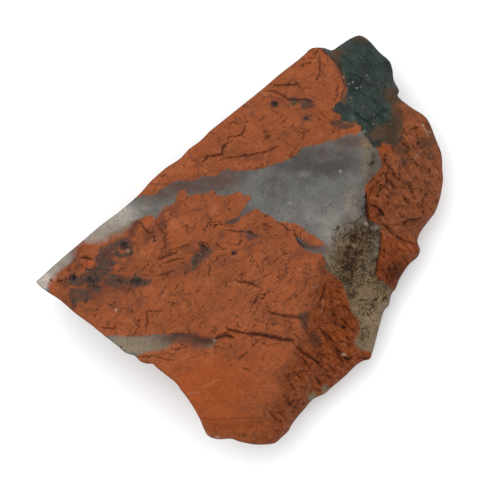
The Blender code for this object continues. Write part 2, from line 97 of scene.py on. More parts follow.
# How far the top has dropped below the sawn face, in millimetres, at points (x, y, drop) of the plan.
# Each chain is a crease: the top is flat between neighbouring chains and spots.
RIM_DROPS = [
    (24, 284, 0.5), (45, 258, 0.0), (90, 220, 0.0), (132, 184, 0.0), (146, 172, 1.2), (176, 146, 1.3),
    (196, 132, 0.1), (240, 96, 0.0), (290, 54, 0.0), (312, 38, 0.5), (330, 40, 3.0), (345, 33, 3.8),
    (361, 26, 4.6), (376, 37, 5.4), (399, 58, 6.4), (403, 80, 6.8), (412, 94, 6.2), (432, 108, 5.9),
    (449, 146, 7.0), (454, 178, 7.4), (449, 208, 7.6), (430, 237, 8.0), (431, 250, 7.4),
    (426, 263, 8.6), (404, 292, 9.2), (396, 318, 9.0), (383, 360, 8.8), (362, 374, 8.8),
    (340, 394, 9.2), (316, 412, 9.0), (300, 432, 8.0), (282, 454, 5.4), (258, 456, 3.3),
    (218, 451, 2.7), (198, 440, 2.0), (188, 418, 0.1), (166, 386, 0.0), (130, 366, 0.0), (80, 330, 0.0),
    (38, 298, 0.0),
]
CREASES = {
    "long edge chamfer": [
        (141, 196, 0.0), (160, 184, 0.0), (177, 171, 0.0), (187, 158, 0.0), (203, 139, 0.0),
    ],
    "red over green, brow": [(319, 46, 0.3), (326, 62, 0.0), (335, 80, 0.0), (342, 96, 0.0)],
    "red over green, lip": [(323, 47, 1.0), (334, 61, 0.9), (341, 74, 0.8), (346, 88, 0.7), (346, 97, 0.4)],
    "red over green, foot": [(326, 46, 2.6), (338, 60, 2.3), (345, 74, 2.0), (350, 89, 1.5), (349, 98, 0.8)],
    "edge of the sawn face": [
        (349, 98, 0.8), (348, 112, 0.0), (362, 136, 0.0), (369, 150, 0.0), (368, 168, 0.0), (360, 190, 0.0),
        (349, 206, 0.0), (341, 220, 0.0), (330, 243, 0.0), (325, 262, 0.0), (320, 276, 0.0), (308, 292, 0.0),
        (303, 313, 0.0), (299, 335, 0.0), (291, 348, 0.0), (284, 362, 0.0), (277, 380, 0.0), (270, 401, 0.0),
        (264, 416, 0.0),
    ],
    "bottom bevel": [(196, 418, 0.0), (212, 419, 0.0), (230, 418, 0.0), (248, 417, 0.0), (264, 416, 0.0)],
    "bevel corner": [(264, 416, 0.1), (270, 428, 1.2), (276, 446, 3.2)],
    "lobe brow": [(380, 152, 1.0), (378, 174, 0.9), (370, 186, 0.5), (369, 203, 0.7), (373, 220, 1.7)],
    "lobe foot": [(374, 152, 0.8), (371, 176, 1.1), (365, 188, 0.8), (364, 206, 1.2), (366, 221, 2.3)],
    "lobe shoulder": [
        (402, 106, 4.2), (421, 121, 4.6), (431, 143, 5.0), (435, 170, 5.2), (430, 199, 5.2), (421, 215, 5.0),
    ],
    "ledge lip": [(400, 222, 3.1), (404, 218, 3.3), (421, 216, 4.9), (427, 217, 5.6)],
    "ledge foot": [(400, 225, 4.4), (405, 222, 4.9), (419, 221, 6.0), (426, 221, 6.6)],
    "gap under the lobe": [
        (372, 224, 3.2), (384, 227, 3.8), (397, 238, 4.7), (414, 244, 6.0), (420, 245, 6.6),
    ],
    "block ridge": [(381, 235, 3.2), (394, 243, 3.7), (411, 249, 4.5), (419, 251, 5.6)],
    "block flank": [(381, 262, 4.6), (396, 262, 5.8), (410, 259, 6.6)],
    "block side": [(377, 238, 4.2), (375, 262, 5.0), (377, 280, 6.0), (390, 290, 7.4)],
    "slope shelf": [
        (326, 292, 1.2), (322, 312, 1.5), (316, 333, 1.7), (306, 352, 1.4), (294, 375, 1.3), (282, 402, 1.3),
    ],
    "slope shelf foot": [
        (337, 296, 2.3), (333, 322, 2.9), (325, 346, 3.4), (316, 368, 3.6), (302, 392, 3.5), (285, 420, 3.0),
    ],
}
SPOT_DROPS = [
    (338, 54, 2.9), (350, 60, 2.7), (364, 50, 4.0), (362, 70, 2.9), (376, 64, 4.5), (384, 72, 5.3),
    (360, 92, 1.7), (376, 90, 3.4), (386, 86, 5.0), (392, 98, 4.8), (364, 112, 0.9), (380, 116, 2.4),
    (372, 134, 0.9), (390, 134, 2.8),
    (386, 158, 1.2), (402, 150, 2.6), (398, 172, 1.6), (414, 166, 3.3), (420, 186, 3.7), (390, 196, 1.7),
    (406, 204, 2.9), (384, 214, 2.3), (392, 222, 3.2), (412, 232, 6.0), (400, 230, 4.5),
    (356, 214, 1.0), (362, 232, 2.4), (346, 236, 1.1), (354, 256, 2.4), (342, 264, 1.5), (364, 270, 4.1),
    (350, 282, 2.8), (364, 296, 4.6), (378, 300, 6.6), (352, 312, 4.0), (364, 326, 5.6), (354, 340, 5.0),
    (364, 350, 7.2), (340, 356, 5.3), (330, 376, 6.4), (312, 392, 6.2),
    (292, 412, 4.6), (250, 436, 1.5), (225, 432, 1.2),
]

# Underside: heights above the ground in millimetres at (x, y, height) of the plan. What comes out below
# the ground is worn away, which leaves the flat spot that the stone rests on.
FLAT_SPOT = [
    (150, 272, -0.1), (186, 252, -0.1), (204, 226, -0.2), (250, 210, -0.1), (286, 222, -0.3),
    (322, 214, -0.1), (332, 256, -0.2), (306, 282, -0.1), (314, 318, -0.2), (276, 344, -0.1),
    (236, 326, -0.3), (190, 338, -0.1),
]
UNDERSIDE_RIM = [
    (20, 288, 5.2), (100, 212, 3.6), (180, 140, 2.9), (270, 60, 3.4), (330, 20, 5.0), (372, 22, 5.6),
    (410, 80, 4.4), (460, 150, 3.6), (456, 220, 2.9), (430, 270, 2.6), (402, 330, 2.2), (370, 378, 2.4),
    (316, 424, 2.8), (262, 462, 3.2), (196, 448, 3.4), (160, 390, 2.6), (100, 346, 3.2), (50, 308, 4.4),
]
UNDERSIDE_CREASES = {
    "towards the tip": [(150, 272, -0.1), (118, 286, 0.5), (84, 282, 1.5), (48, 284, 3.2)],
    "towards the long edge": [(204, 226, -0.2), (206, 190, 0.5), (222, 156, 0.9), (226, 122, 2.2)],
    "towards the top corner": [(322, 214, -0.1), (330, 168, 0.6), (322, 118, 1.1), (336, 70, 2.6)],
    "towards the lobe": [(332, 256, -0.2), (372, 242, 0.5), (412, 214, 1.4)],
    "towards the lower right": [(314, 318, -0.2), (334, 344, 0.8), (352, 366, 1.6)],
    "towards the bottom": [(236, 326, -0.3), (238, 372, 0.4), (222, 418, 1.5), (214, 444, 2.8)],
}
UNDERSIDE_SPOTS = [
    (110, 250, 1.7), (150, 214, 1.3), (180, 180, 1.6), (270, 160, 1.7), (290, 110, 2.3), (372, 120, 3.3),
    (372, 180, 1.9), (400, 246, 1.8), (374, 290, 1.6), (290, 385, 1.9), (262, 410, 2.3), (190, 380, 1.7),
    (150, 320, 1.3), (104, 316, 2.1),
]

# How far the foot is drawn in towards the centre, as a share of the radius, at bearings in degrees
FOOT_INSETS = [
    (-180, 0.05), (-150, 0.06), (-120, 0.09), (-90, 0.12), (-60, 0.13), (-30, 0.11), (0, 0.10),
    (25, 0.12), (55, 0.15), (70, 0.08), (90, 0.035), (150, 0.03), (180, 0.05),
]
# How rough the sides are, in millimetres, at the same kind of bearings
SIDE_RELIEF = [
    (-180, 0.3), (-150, 0.4), (-120, 0.8), (-60, 1.0), (0, 1.0), (55, 0.9), (70, 0.5), (90, 0.25),
    (150, 0.25), (180, 0.3),
]

# Bowls left by breaking: (how far apart their middles are, how deep they are), in millimetres
SKIN_BOWLS = [(4.6, 0.60), (2.1, 0.32)]
SIDE_BOWLS = [(5.6, 0.85), (2.6, 0.40)]  # their depth is multiplied by SIDE_RELIEF
UNDERSIDE_BOWLS = [(6.8, 0.60), (3.0, 0.25)]
# How wide and deep the rounding is where a face turns into the side, in millimetres
SAWN_TURN = (0.3, 0.2)
SKIN_TURN = (1.4, 0.9)
FOOT_TURN_WIDTH = 2.4
FOOT_TURN_DEPTH = 0.9
NOTCH_REACH = 2.6  # notches of the rim shorter than this don't run down to the foot
SMOOTH_FACET = [(322, 40), (352, 30), (380, 48), (396, 86), (388, 108), (366, 122), (348, 104), (338, 74)]
SMOOTH_FACET_SHARE = 0.4
GRAIN_ANGLE = np.radians(48.0)  # the broken skin's steps run down to the right on the plan
GRAIN_STRETCH = 1.7

# What the stone is made of, as outlines on the plan. They run past the stone's own outline, so that the
# sides have them too.
UPPER_VEIN = [
    (24, 270), (70, 232), (128, 188), (138, 198), (143, 195), (150, 195.5), (156.5, 193), (163, 188),
    (170, 184), (177, 180.5), (185, 181.4), (193, 180), (198, 178.4), (202, 176.3), (211, 176),
    (215, 177), (219.5, 173), (223.5, 171), (227.5, 169), (231, 169.5), (232, 171.5), (240, 171.4),
    (247, 170.3), (264, 168.3), (268.5, 166.3), (273, 164.3), (280, 163.2), (286, 160), (291.5, 158),
    (296, 154), (299, 150), (303.5, 147.4), (311, 145.3), (319.5, 144.7), (325, 142.2), (329, 140.5),
    (336, 139.7), (343, 136), (350, 134), (356, 134.5), (360, 131.5), (366, 134), (371, 140), (375, 145),
    (378, 150), (379, 155), (381, 160), (381.5, 165), (379, 170), (376, 174), (373, 176), (369, 181),
    (364, 188.5), (365, 194), (366, 200), (366, 215), (367, 219), (371, 221), (376, 223.5), (380.5, 227),
    (380.5, 233),
    (379.5, 240), (380.5, 250), (378.4, 258.4), (376.3, 266), (375.7, 274.4), (378, 279.7), (383, 282),
    (387, 284), (392, 289), (410, 300), (404, 340), (384, 364), (374, 356), (369, 351), (363.6, 351),
    (358.3, 347.7), (355, 343.5), (356, 339), (358.3, 335), (359.3, 328.5), (359.3, 321), (357.2, 317),
    (353, 313.6), (350.3, 307), (348.7, 301), (346.5, 295.5), (345.5, 291), (343.3, 287), (341, 283),
    (338, 278.4), (333.7, 275), (329.5, 272), (325.7, 268.8), (325, 259), (323.5, 256), (321, 254),
    (315.5, 253.3), (310, 251.7), (304.8, 249.6), (300.5, 246.4), (297.3, 243.2), (296.3, 239),
    (297.3, 236.8), (301.6, 239.5), (304.3, 240.5), (308, 243.2), (313.3, 245.3), (318.7, 246.2),
    (323, 245.7), (325.3, 244.6), (323.5, 243.2), (319.7, 239.5), (316.5, 238), (314.4, 235.2),
    (309, 233.6), (304.8, 230.4), (301.6, 227.2), (298.4, 224.5), (293, 223), (287.7, 222),
    (282.4, 221.7), (278, 222), (275, 219.7), (271.7, 217), (268.5, 215), (264.3, 214.4),
    (261, 212.3), (259, 209.2), (254.7, 208.7), (251.5, 210.8), (247.2, 213), (243.5, 215),
    (240.8, 217.2), (239.7, 220), (237.6, 222), (233.3, 223.6), (229.6, 223.6), (221.6, 221.5),
    (226, 221.8), (230, 220.4), (235.5, 218.3), (238.7, 215.6), (241.3, 212.4), (243, 209.2),
    (244.5, 207), (246.7, 204), (249.3, 200.7), (251, 198.5), (250, 196.4), (247.2, 195.3),
    (243, 194.8), (239.7, 192), (236.5, 191.6), (232.3, 193.7), (228, 195.3), (222.7, 196),
    (217.3, 194.8), (215.2, 191.6), (212, 191), (207.7, 192.7), (202.4, 193.7), (196, 193.7),
    (191.7, 195.3), (187, 195.3), (184.3, 198), (186.4, 194.3), (185.3, 190), (180.5, 189.5),
    (179.5, 192), (175.7, 196.4), (174.7, 201.7), (169.3, 205.5), (166.7, 205), (164, 207),
    (161.3, 210.3), (159.7, 213.5), (158, 216.7), (157, 218.8), (153.3, 217.7), (150, 215),
    (146, 216), (142.7, 217.7), (139.5, 218.8), (136.8, 221), (132, 221.5), (130, 226.3),
    (125.6, 229), (123.5, 231.6), (119, 233.7), (114, 234.8), (109.6, 237), (106.4, 239),
    (103.3, 240.3), (98.7, 242), (94.4, 242), (88, 243), (82.7, 242), (79.5, 243.6), (75.8, 247.3),
    (74.2, 251.5), (73, 259), (68, 265.5), (62.5, 268.5), (56.5, 273), (54.3, 277), (50.6, 279.2),
    (48, 283.5), (47.4, 286.7), (49.5, 290.4), (44, 300), (20, 290),
]
LOWER_WEDGE = [
    (90, 340), (106, 336.3), (115.7, 335.7), (126, 336.5), (140, 336.8), (145.5, 335.2), (153, 334.6),
    (161.5, 334.6), (169, 334.4), (175, 333.4), (184.5, 333.2), (190, 334), (195, 333), (199.5, 335.7),
    (203.7, 337.3), (214, 337.5), (217, 339), (214.4, 344.8), (211, 347),
    (206, 348), (200.5, 347), (196, 346), (191, 344), (186, 341.2), (180, 340.2), (175, 342.2), (171, 345),
    (165.5, 348.3), (156, 351.2), (150, 351.2), (143.4, 353.3), (139, 355), (136, 357), (126, 366),
    (104, 352),
]
GREEN_BAND = [
    (318, 38), (322, 48), (326, 52), (330, 56), (334, 61), (338, 66), (341, 71), (343, 76), (345, 82),
    (347, 88), (347, 93), (344, 98), (340, 101), (334.5, 105), (330.5, 108.5), (335, 112), (340, 115),
    (342, 120), (348, 123), (356, 123), (360, 126), (362, 131), (365, 137), (369, 142), (373.5, 147),
    (380, 147.5), (382, 143), (386, 143), (390, 145), (396, 146), (399, 144), (401, 139), (398, 134),
    (400, 128), (400, 124), (400, 118), (396, 112), (393, 108), (395, 103), (400, 100), (408, 98), (412, 70),
    (386, 36), (360, 22),
]
DARK_PATCHES = [
    [
        (100, 252), (105, 248), (112, 245), (119, 240), (126, 239), (131, 243), (132, 250), (131, 254),
        (125, 256), (118, 255), (112, 255), (108, 260), (115, 262), (113, 267), (110, 272), (108, 275),
        (104, 277), (98, 283), (100, 288), (96, 292), (90, 287), (86, 283), (82, 286), (75, 285),
        (70, 283), (70, 277), (74, 275), (79, 278), (85, 275), (88, 270), (94, 269), (98, 265), (97, 259),
    ],
    [
        (112, 274), (118, 275), (124, 278), (131, 279), (136, 276), (140, 279), (147, 280), (150, 281),
        (145, 284), (138, 286), (130, 285), (122, 284), (116, 286), (108, 285), (104, 281),
    ],
    [
        (70, 291), (76, 289), (83, 290), (88, 293), (90, 297), (86, 301), (80, 299), (76, 305), (73, 308),
        (70, 298),
    ],
    [
        (190, 267), (194, 258), (199, 252), (207, 249), (211, 252), (206, 256), (203, 260), (198, 264),
        (194, 268),
    ],
    [(290, 100), (294, 98.5), (299, 101), (296, 103), (292, 102.5)],
    [(301, 101), (304, 99), (309, 101), (311.5, 105), (307, 107.5), (303, 105.5)],
    [(303, 117), (306, 115.5), (312, 115.5), (309, 119), (304, 120)],
    [(331, 122), (338, 121.5), (347, 123.5), (351, 126), (344, 127.5), (336, 126)],
    [(395, 148), (400, 145), (407, 147), (409, 151), (403, 154), (397, 153)],
    [(418, 140), (425, 139), (430, 145), (424, 149), (418, 146)],
    [(428, 149), (433, 152), (433, 159), (428, 157)],
    [(428, 124), (434, 128), (440, 140), (433, 140)],
    [(402, 159), (408, 160), (407, 165), (402, 163)],
    [(301, 315), (304, 312.5), (307, 314), (307, 320), (305, 325), (303, 321)],
    [(311, 336), (315, 333), (319, 337), (319, 344), (316, 347), (313, 342)],
    [(242, 231), (250, 232), (257, 236), (249, 238), (243, 235)],
]
GREY_BITS = [
    [(322, 388), (325, 385), (328, 386), (329, 391), (324, 395)],
    [(307, 398), (311, 394), (316, 391), (317, 396), (311, 403)],
    [(365.5, 168), (371, 160), (372, 170), (368, 176)],
]
RED_PEBBLES = [
    [(81, 263), (85, 260.5), (90, 260), (95, 261.5), (98, 265), (95, 268), (89, 269), (83, 267.5)],
    [(101, 263), (106, 262), (108, 266), (104, 268)],
]

# Soft spots on the plan: (x, y, half width, half height, amount). What they add up to is how milky the vein
# is, together with painted light where light comes through its thin edge, and how much lighter or darker the
# stone is painted, for its own tone and as painted light and shade.
MILKY_AND_EDGE_LIT_SPOTS = [
    (42, 281, 12, 9, 0.85), (62, 262, 20, 12, 0.40), (90, 238, 24, 13, 0.42), (116, 218, 24, 14, 0.42),
    (138, 204, 14, 10, 0.22), (318, 160, 50, 15, -0.26), (270, 172, 30, 10, -0.10),
    (205, 186, 34, 8, -0.15), (312, 212, 30, 12, 0.20), (342, 214, 20, 14, 0.14), (324, 230, 20, 12, 0.16),
    (305, 175, 5, 3, 0.22), (374, 228, 5, 4, 0.5), (352, 205, 9, 14, 0.14), (336, 231, 9, 9, 0.04),
    (280, 190, 20, 12, -0.18), (332, 172, 20, 9, -0.15), (238, 176, 12, 8, -0.1), (358, 214, 8, 12, 0.16),
    (140, 350, 14, 5, 0.14), (308, 244, 12, 5, -0.5), (134, 344, 28, 9, 0.20), (190, 338, 26, 8, -0.3),
    (354, 142, 22, 6, -0.15), (370, 325, 22, 30, 0.26), (289, 160, 5, 3, 0.08), (60, 272, 14, 6, 0.2),
    (305, 196, 30, 8, 0.08),
]
# Lighter and darker spots: the stone's own tone, and painted light and shade on tilted and shaded places
TONE_AND_PAINTED_LIGHT_SPOTS = [
    # the vein and the speckled rock
    (342, 231, 7, 6, 0.28), (331, 241, 7, 9, 0.22), (336, 257, 7, 7, -0.18), (119, 339, 9, 5, 0.22),
    (308, 246, 8, 4, -0.2), (342, 218, 8, 7, 0.25), (328, 212, 8, 8, -0.2), (357, 251, 9, 7, 0.22),
    (338, 275, 7, 7, 0.2), (370, 266, 6, 8, -0.25), (371, 322, 8, 12, 0.22), (385, 299, 8, 6, 0.25),
    (312, 180, 9, 7, -0.25), (250, 172, 8, 5, -0.2), (367, 195, 5, 9, 0.5), (212, 341, 6, 4, -0.2),
    # the green band and the lobe
    (356, 113, 9, 9, 0.4), (352, 92, 7, 9, 0.3), (393, 90, 6, 8, 0.2), (372, 138, 8, 7, 0.25),
    (401, 139, 7, 7, 0.25), (418, 121, 8, 8, 0.2), (383, 243, 5, 10, 0.2), (410, 244, 9, 6, 0.2),
    (338, 52, 8, 5, 0.2), (350, 76, 7, 9, 0.25), (347, 336, 7, 7, 0.2), (387, 227, 7, 5, 0.15),
    # the red
    (281, 379, 9, 9, -0.15), (324, 63, 5, 7, 0.2), (157, 265, 6, 5, -0.2), (265, 388, 8, 8, -0.14),
    (139, 279, 6, 4, 0.2), (247, 199, 5, 5, -0.18), (231, 223, 6, 5, -0.38), (213, 321, 9, 8, -0.18),
    (271, 362, 9, 8, -0.18), (305, 298, 8, 9, -0.16), (313, 281, 8, 10, -0.16), (257, 219, 8, 5, -0.18),
    (116, 308, 7, 6, -0.18), (294, 344, 9, 12, -0.16), (311, 254, 8, 4, -0.2),
    # all over the stone
    (324, 92, 12, 18, -0.07), (308, 64, 8, 10, 0.04), (230, 432, 40, 12, 0.16), (380, 132, 10, 12, 0.12),
    (360, 62, 15, 22, -0.12), (338, 72, 5, 14, -0.12), (341, 92, 5, 8, 0.1), (412, 113, 9, 7, -0.15),
    (354, 129, 8, 6, -0.12), (288, 229, 12, 6, -0.1), (66, 302, 9, 11, -0.22), (366, 126, 10, 16, 0.12),
    (384, 148, 8, 5, 0.1), (110, 270, 30, 20, -0.04), (200, 405, 40, 20, 0.02), (392, 240, 14, 8, 0.06),
    (393, 275, 14, 13, -0.50), (401, 266, 9, 8, -0.2), (240, 398, 34, 20, -0.08), (296, 408, 12, 12, -0.12),
    (304, 311, 10, 9, -0.13), (343, 284, 6, 12, -0.15), (322, 267, 5, 9, -0.5), (333, 268, 4, 8, 0.15),
    (390, 228, 13, 8, 0.25), (255, 409, 22, 12, -0.08), (378, 130, 14, 10, 0.12), (406, 130, 9, 9, 0.12),
    (402, 146, 8, 5, -0.12), (423, 142, 7, 6, -0.12), (198, 340, 14, 9, -0.12), (383.5, 272, 4, 4, 0.25),
    (335, 317, 15, 10, -0.2), (330, 290, 12, 22, -0.08), (310, 344, 7, 6, -0.1), (408, 126, 10, 8, 0.06),
    (366, 232, 6, 14, -0.05), (356, 250, 18, 24, 0.09), (412, 132, 12, 10, 0.1), (310, 236, 10, 6, -0.12),
    (335, 350, 14, 8, 0.08), (345, 55, 16, 8, 0.08), (334, 70, 6, 16, 0.08), (435, 165, 6, 20, 0.08),
    (400, 195, 8, 6, 0.08), (395, 225, 7, 5, 0.08), (410, 226, 8, 5, -0.15), (372, 116, 26, 16, 0.22),
    (365, 88, 24, 20, 0.08), (230, 140, 10, 8, 0.04),
]
# The same for shares, which are held between 0 and 1
SHARE_SPOTS = {
    # yellowish, brownish and rusty chalcedony; the rusty spots turn the green band brown as well
    "warm": [
        (110, 230, 40, 10, 0.30), (140, 345, 34, 10, 0.6), (366, 325, 26, 36, 0.95),
        (358, 268, 24, 40, 0.9), (352, 200, 8, 16, 0.25), (330, 261, 7, 12, 0.5), (370, 165, 10, 30, 0.30),
        (384, 288, 18, 16, 0.8), (366, 142, 8, 6, 0.6), (60, 262, 14, 8, 0.3), (318, 392, 14, 10, 1.0),
        (341, 246, 12, 8, 0.3),
    ],
    "purple": [
        (170, 190, 24, 9, 0.7), (208, 184, 32, 10, 0.80), (226, 177, 20, 7, 0.5), (191, 338, 31, 9, 1.0),
        (308, 244, 14, 6, 1.0), (322, 250, 10, 5, 0.6), (150, 198, 20, 8, 0.5), (236, 220, 8, 4, 0.5),
        (373, 235, 6, 4, 0.9), (66, 268, 12, 6, 0.4), (242, 213, 10, 9, 0.6), (325, 152, 30, 7, 0.35),
        (375, 230, 7, 5, 0.5), (80, 262, 8, 6, 0.7), (352, 141, 24, 6, 0.6),
    ],
    "rusty": [
        (228, 171, 10, 4, 0.6), (231, 221, 8, 4, 0.7), (372, 138, 8, 6, 0.3), (338, 54, 8, 6, 0.45),
        (345, 50, 5, 4, 0.3), (334, 50, 4, 3, 0.5), (197, 338, 27, 8, 0.9), (160, 341, 40, 9, 0.22),
        (204, 342, 10, 8, 0.4), (378, 131, 14, 12, 0.3), (390, 130, 9, 14, 0.45), (361, 39, 9, 4, 0.75),
        (393, 95, 11, 9, 1.0), (398, 116, 7, 14, 0.9), (380, 134, 10, 8, 0.35), (334, 56, 6, 6, 0.5),
        (352, 122, 8, 3, 0.5), (394, 140, 9, 6, 0.7), (344, 98, 4, 10, 0.7), (400, 132, 5, 12, 0.6),
        (338, 64, 4, 8, 0.5), (379, 146, 5, 3, 0.4),
    ],
    # how dusky and how speckled the vein is by its right end
    "dusky": [
        (357, 234, 12, 8, 0.75), (346, 255, 8, 13, 0.6), (356, 258, 9, 10, 0.3), (354, 278, 10, 8, 0.4),
        (358, 245, 10, 12, 0.4), (345, 270, 10, 14, 0.55), (369, 229, 8, 8, 0.4), (354, 262, 10, 10, 0.35),
        (374, 276, 6, 9, 0.3), (352, 290, 7, 10, 0.4), (368, 252, 10, 16, 0.25), (363, 210, 6, 14, 0.2),
        (388, 294, 10, 8, 0.4), (364, 334, 5, 6, 0.3),
    ],
    "speckled": [
        (356, 235, 22, 18, 1.0), (346, 262, 18, 30, 0.9), (370, 252, 14, 26, 0.6), (360, 285, 22, 16, 0.7),
        (367, 307, 12, 10, 0.9), (364, 334, 7, 8, 0.8), (368, 322, 14, 24, 0.5), (372, 162, 8, 26, 0.35),
        (366, 206, 8, 20, 0.3), (388, 294, 12, 14, 0.7), (352, 296, 7, 16, 0.5),
    ],
    # where the borders of the vein and of the green fade, instead of ending at a line
    "soft_edge": [
        (100, 238, 30, 10, 1.0), (70, 255, 14, 8, 0.8), (290, 230, 30, 8, 0.25), (315, 246, 14, 5, 0.4),
        (345, 140, 20, 8, 0.4), (160, 210, 14, 8, 0.4), (120, 337, 30, 5, 0.3), (128, 226, 12, 8, 0.6),
        (196, 342, 24, 8, 1.0), (358, 322, 12, 40, 0.3), (318, 391, 16, 10, 0.4), (56, 280, 10, 12, 0.8),
        (165, 348, 20, 5, 0.5), (375, 200, 10, 30, 0.2), (200, 190, 60, 8, 0.1),
    ],
    "fuzzy": [
        (340, 77, 7, 24, 0.9), (392, 98, 14, 14, 1.0), (398, 116, 9, 14, 0.9), (400, 134, 8, 12, 0.7),
        (372, 140, 30, 6, 0.3), (366, 36, 14, 4, 0.3),
    ],
    # the red: its cleanest, its smoky, its flecked and its blackest places, and the dusty skin
    "glowing": [
        (235, 424, 40, 12, 0.5), (185, 315, 26, 10, 0.25), (200, 392, 44, 34, 0.9), (245, 375, 44, 40, 0.4),
        (385, 148, 12, 8, 0.9), (347, 349, 9, 6, 0.8), (325, 110, 30, 20, 0.2),
    ],
    "smoky": [
        (150, 236, 10, 12, 0.7), (165, 245, 6, 14, 0.5), (190, 250, 16, 8, 0.5), (235, 235, 24, 8, 0.15),
        (225, 263, 12, 5, 0.5), (250, 158, 16, 4, 0.7), (265, 262, 30, 20, 0.2), (235, 285, 30, 14, 0.15),
        (180, 272, 26, 8, 0.5), (265, 312, 30, 12, 0.2), (110, 300, 30, 14, 0.3), (300, 104, 22, 10, 0.4),
        (130, 264, 14, 10, 0.4), (245, 350, 20, 10, 0.3), (90, 290, 26, 12, 0.5), (164, 222, 5, 12, 1.0),
        (165, 248, 4, 12, 0.9), (200, 257, 10, 7, 0.6), (221, 234, 4, 7, 0.6), (172, 212, 8, 10, 0.7),
        (133, 225, 8, 6, 1.0), (128, 234, 9, 5, 1.0), (73, 265, 8, 9, 1.3), (66, 282, 9, 6, 0.9),
        (130, 289, 14, 4, 0.7), (151, 243, 7, 7, 0.5), (227, 171, 16, 3, 0.6), (216, 248, 8, 5, 0.6),
        (106, 264, 7, 6, 0.8), (142, 218, 8, 8, 0.5), (140, 304, 4, 12, 0.5), (130, 312, 5, 6, 0.5),
        (120, 284, 30, 5, 0.5),
    ],
    "flecked": [
        (285, 280, 45, 45, 1.0), (235, 262, 50, 30, 0.8), (215, 335, 40, 30, 0.5), (170, 262, 30, 16, 0.6),
        (265, 320, 40, 24, 0.7), (120, 300, 40, 20, 0.3), (230, 145, 30, 20, 0.3), (255, 225, 30, 16, 0.5),
    ],
    "blue_black": [
        (124, 245, 5, 5, 1.0), (137, 281, 7, 3.5, 0.8), (74, 278, 4, 4, 1.0), (202.5, 246.5, 4, 3.4, 1.0),
        (120, 281, 6, 3, 0.6), (234, 253, 3, 2, 1.0), (275, 104, 4, 4, 1.0), (306, 119, 5, 3, 0.5),
        (195, 263, 4, 3, 0.7), (155, 240, 3, 3, 0.6), (90, 281, 9, 5, 0.5), (130, 252, 4, 3, 0.6),
    ],
    "dusty": [
        (412, 170, 44, 60, 1.0), (402, 226, 26, 12, 1.0), (400, 118, 18, 16, 0.8), (390, 228, 14, 8, 0.6),
        (380, 144, 8, 6, 0.9),
    ],
}
# Light grains on the stone
PALE_GRAINS = [
    (344, 355, 2.2, 1.2, 1.3), (366, 223.5, 1.9, 1.7, 1.3), (423.5, 125, 1.0, 1.5, 0.8),
    (357, 88, 0.9, 0.9, 0.8), (340.5, 171, 0.8, 0.8, 1.0), (218, 437, 2.0, 1.0, 0.7),
    (214.5, 340, 1.2, 1.6, 0.6), (122, 213, 2, 1, 0.6), (130, 211, 2.4, 0.9, 0.6),
    (118, 212, 2.6, 0.7, 0.8), (125, 208.5, 0.8, 2.4, 0.7), (116, 310, 1.6, 1, 0.7),
    (128, 251, 1.2, 1.6, 0.5), (429, 132, 1, 1, 0.5), (353, 82, 0.8, 1.2, 0.6), (349, 84, 0.8, 0.8, 0.5),
    (343.5, 77, 0.8, 1, 0.6), (374, 124, 0.8, 0.6, 0.6), (390, 123, 0.7, 0.7, 0.6),
    (361, 87, 0.7, 1.0, 0.5), (367, 75, 1.0, 0.7, 0.4), (47, 270, 3, 4, 0.3), (208, 437, 2, 1, 0.4),
    (290, 203, 2.2, 1, 0.4), (364, 131.5, 0.9, 0.9, 0.6),
]
# Where creases are rounded more than elsewhere, and by how many pixels
SOFT_CREASES = [
    (288, 352, 20, 40, 3.2), (300, 318, 16, 26, 2.6), (268, 400, 18, 26, 2.8), (262, 418, 30, 8, 1.2),
]
# Where broken skin is as clean as the sawn face
BARE_SPOTS = [
    (230, 432, 42, 14, 1.0), (332, 66, 9, 26, 0.5), (385, 149, 8, 5, 0.8), (408, 118, 10, 10, 0.3),
]
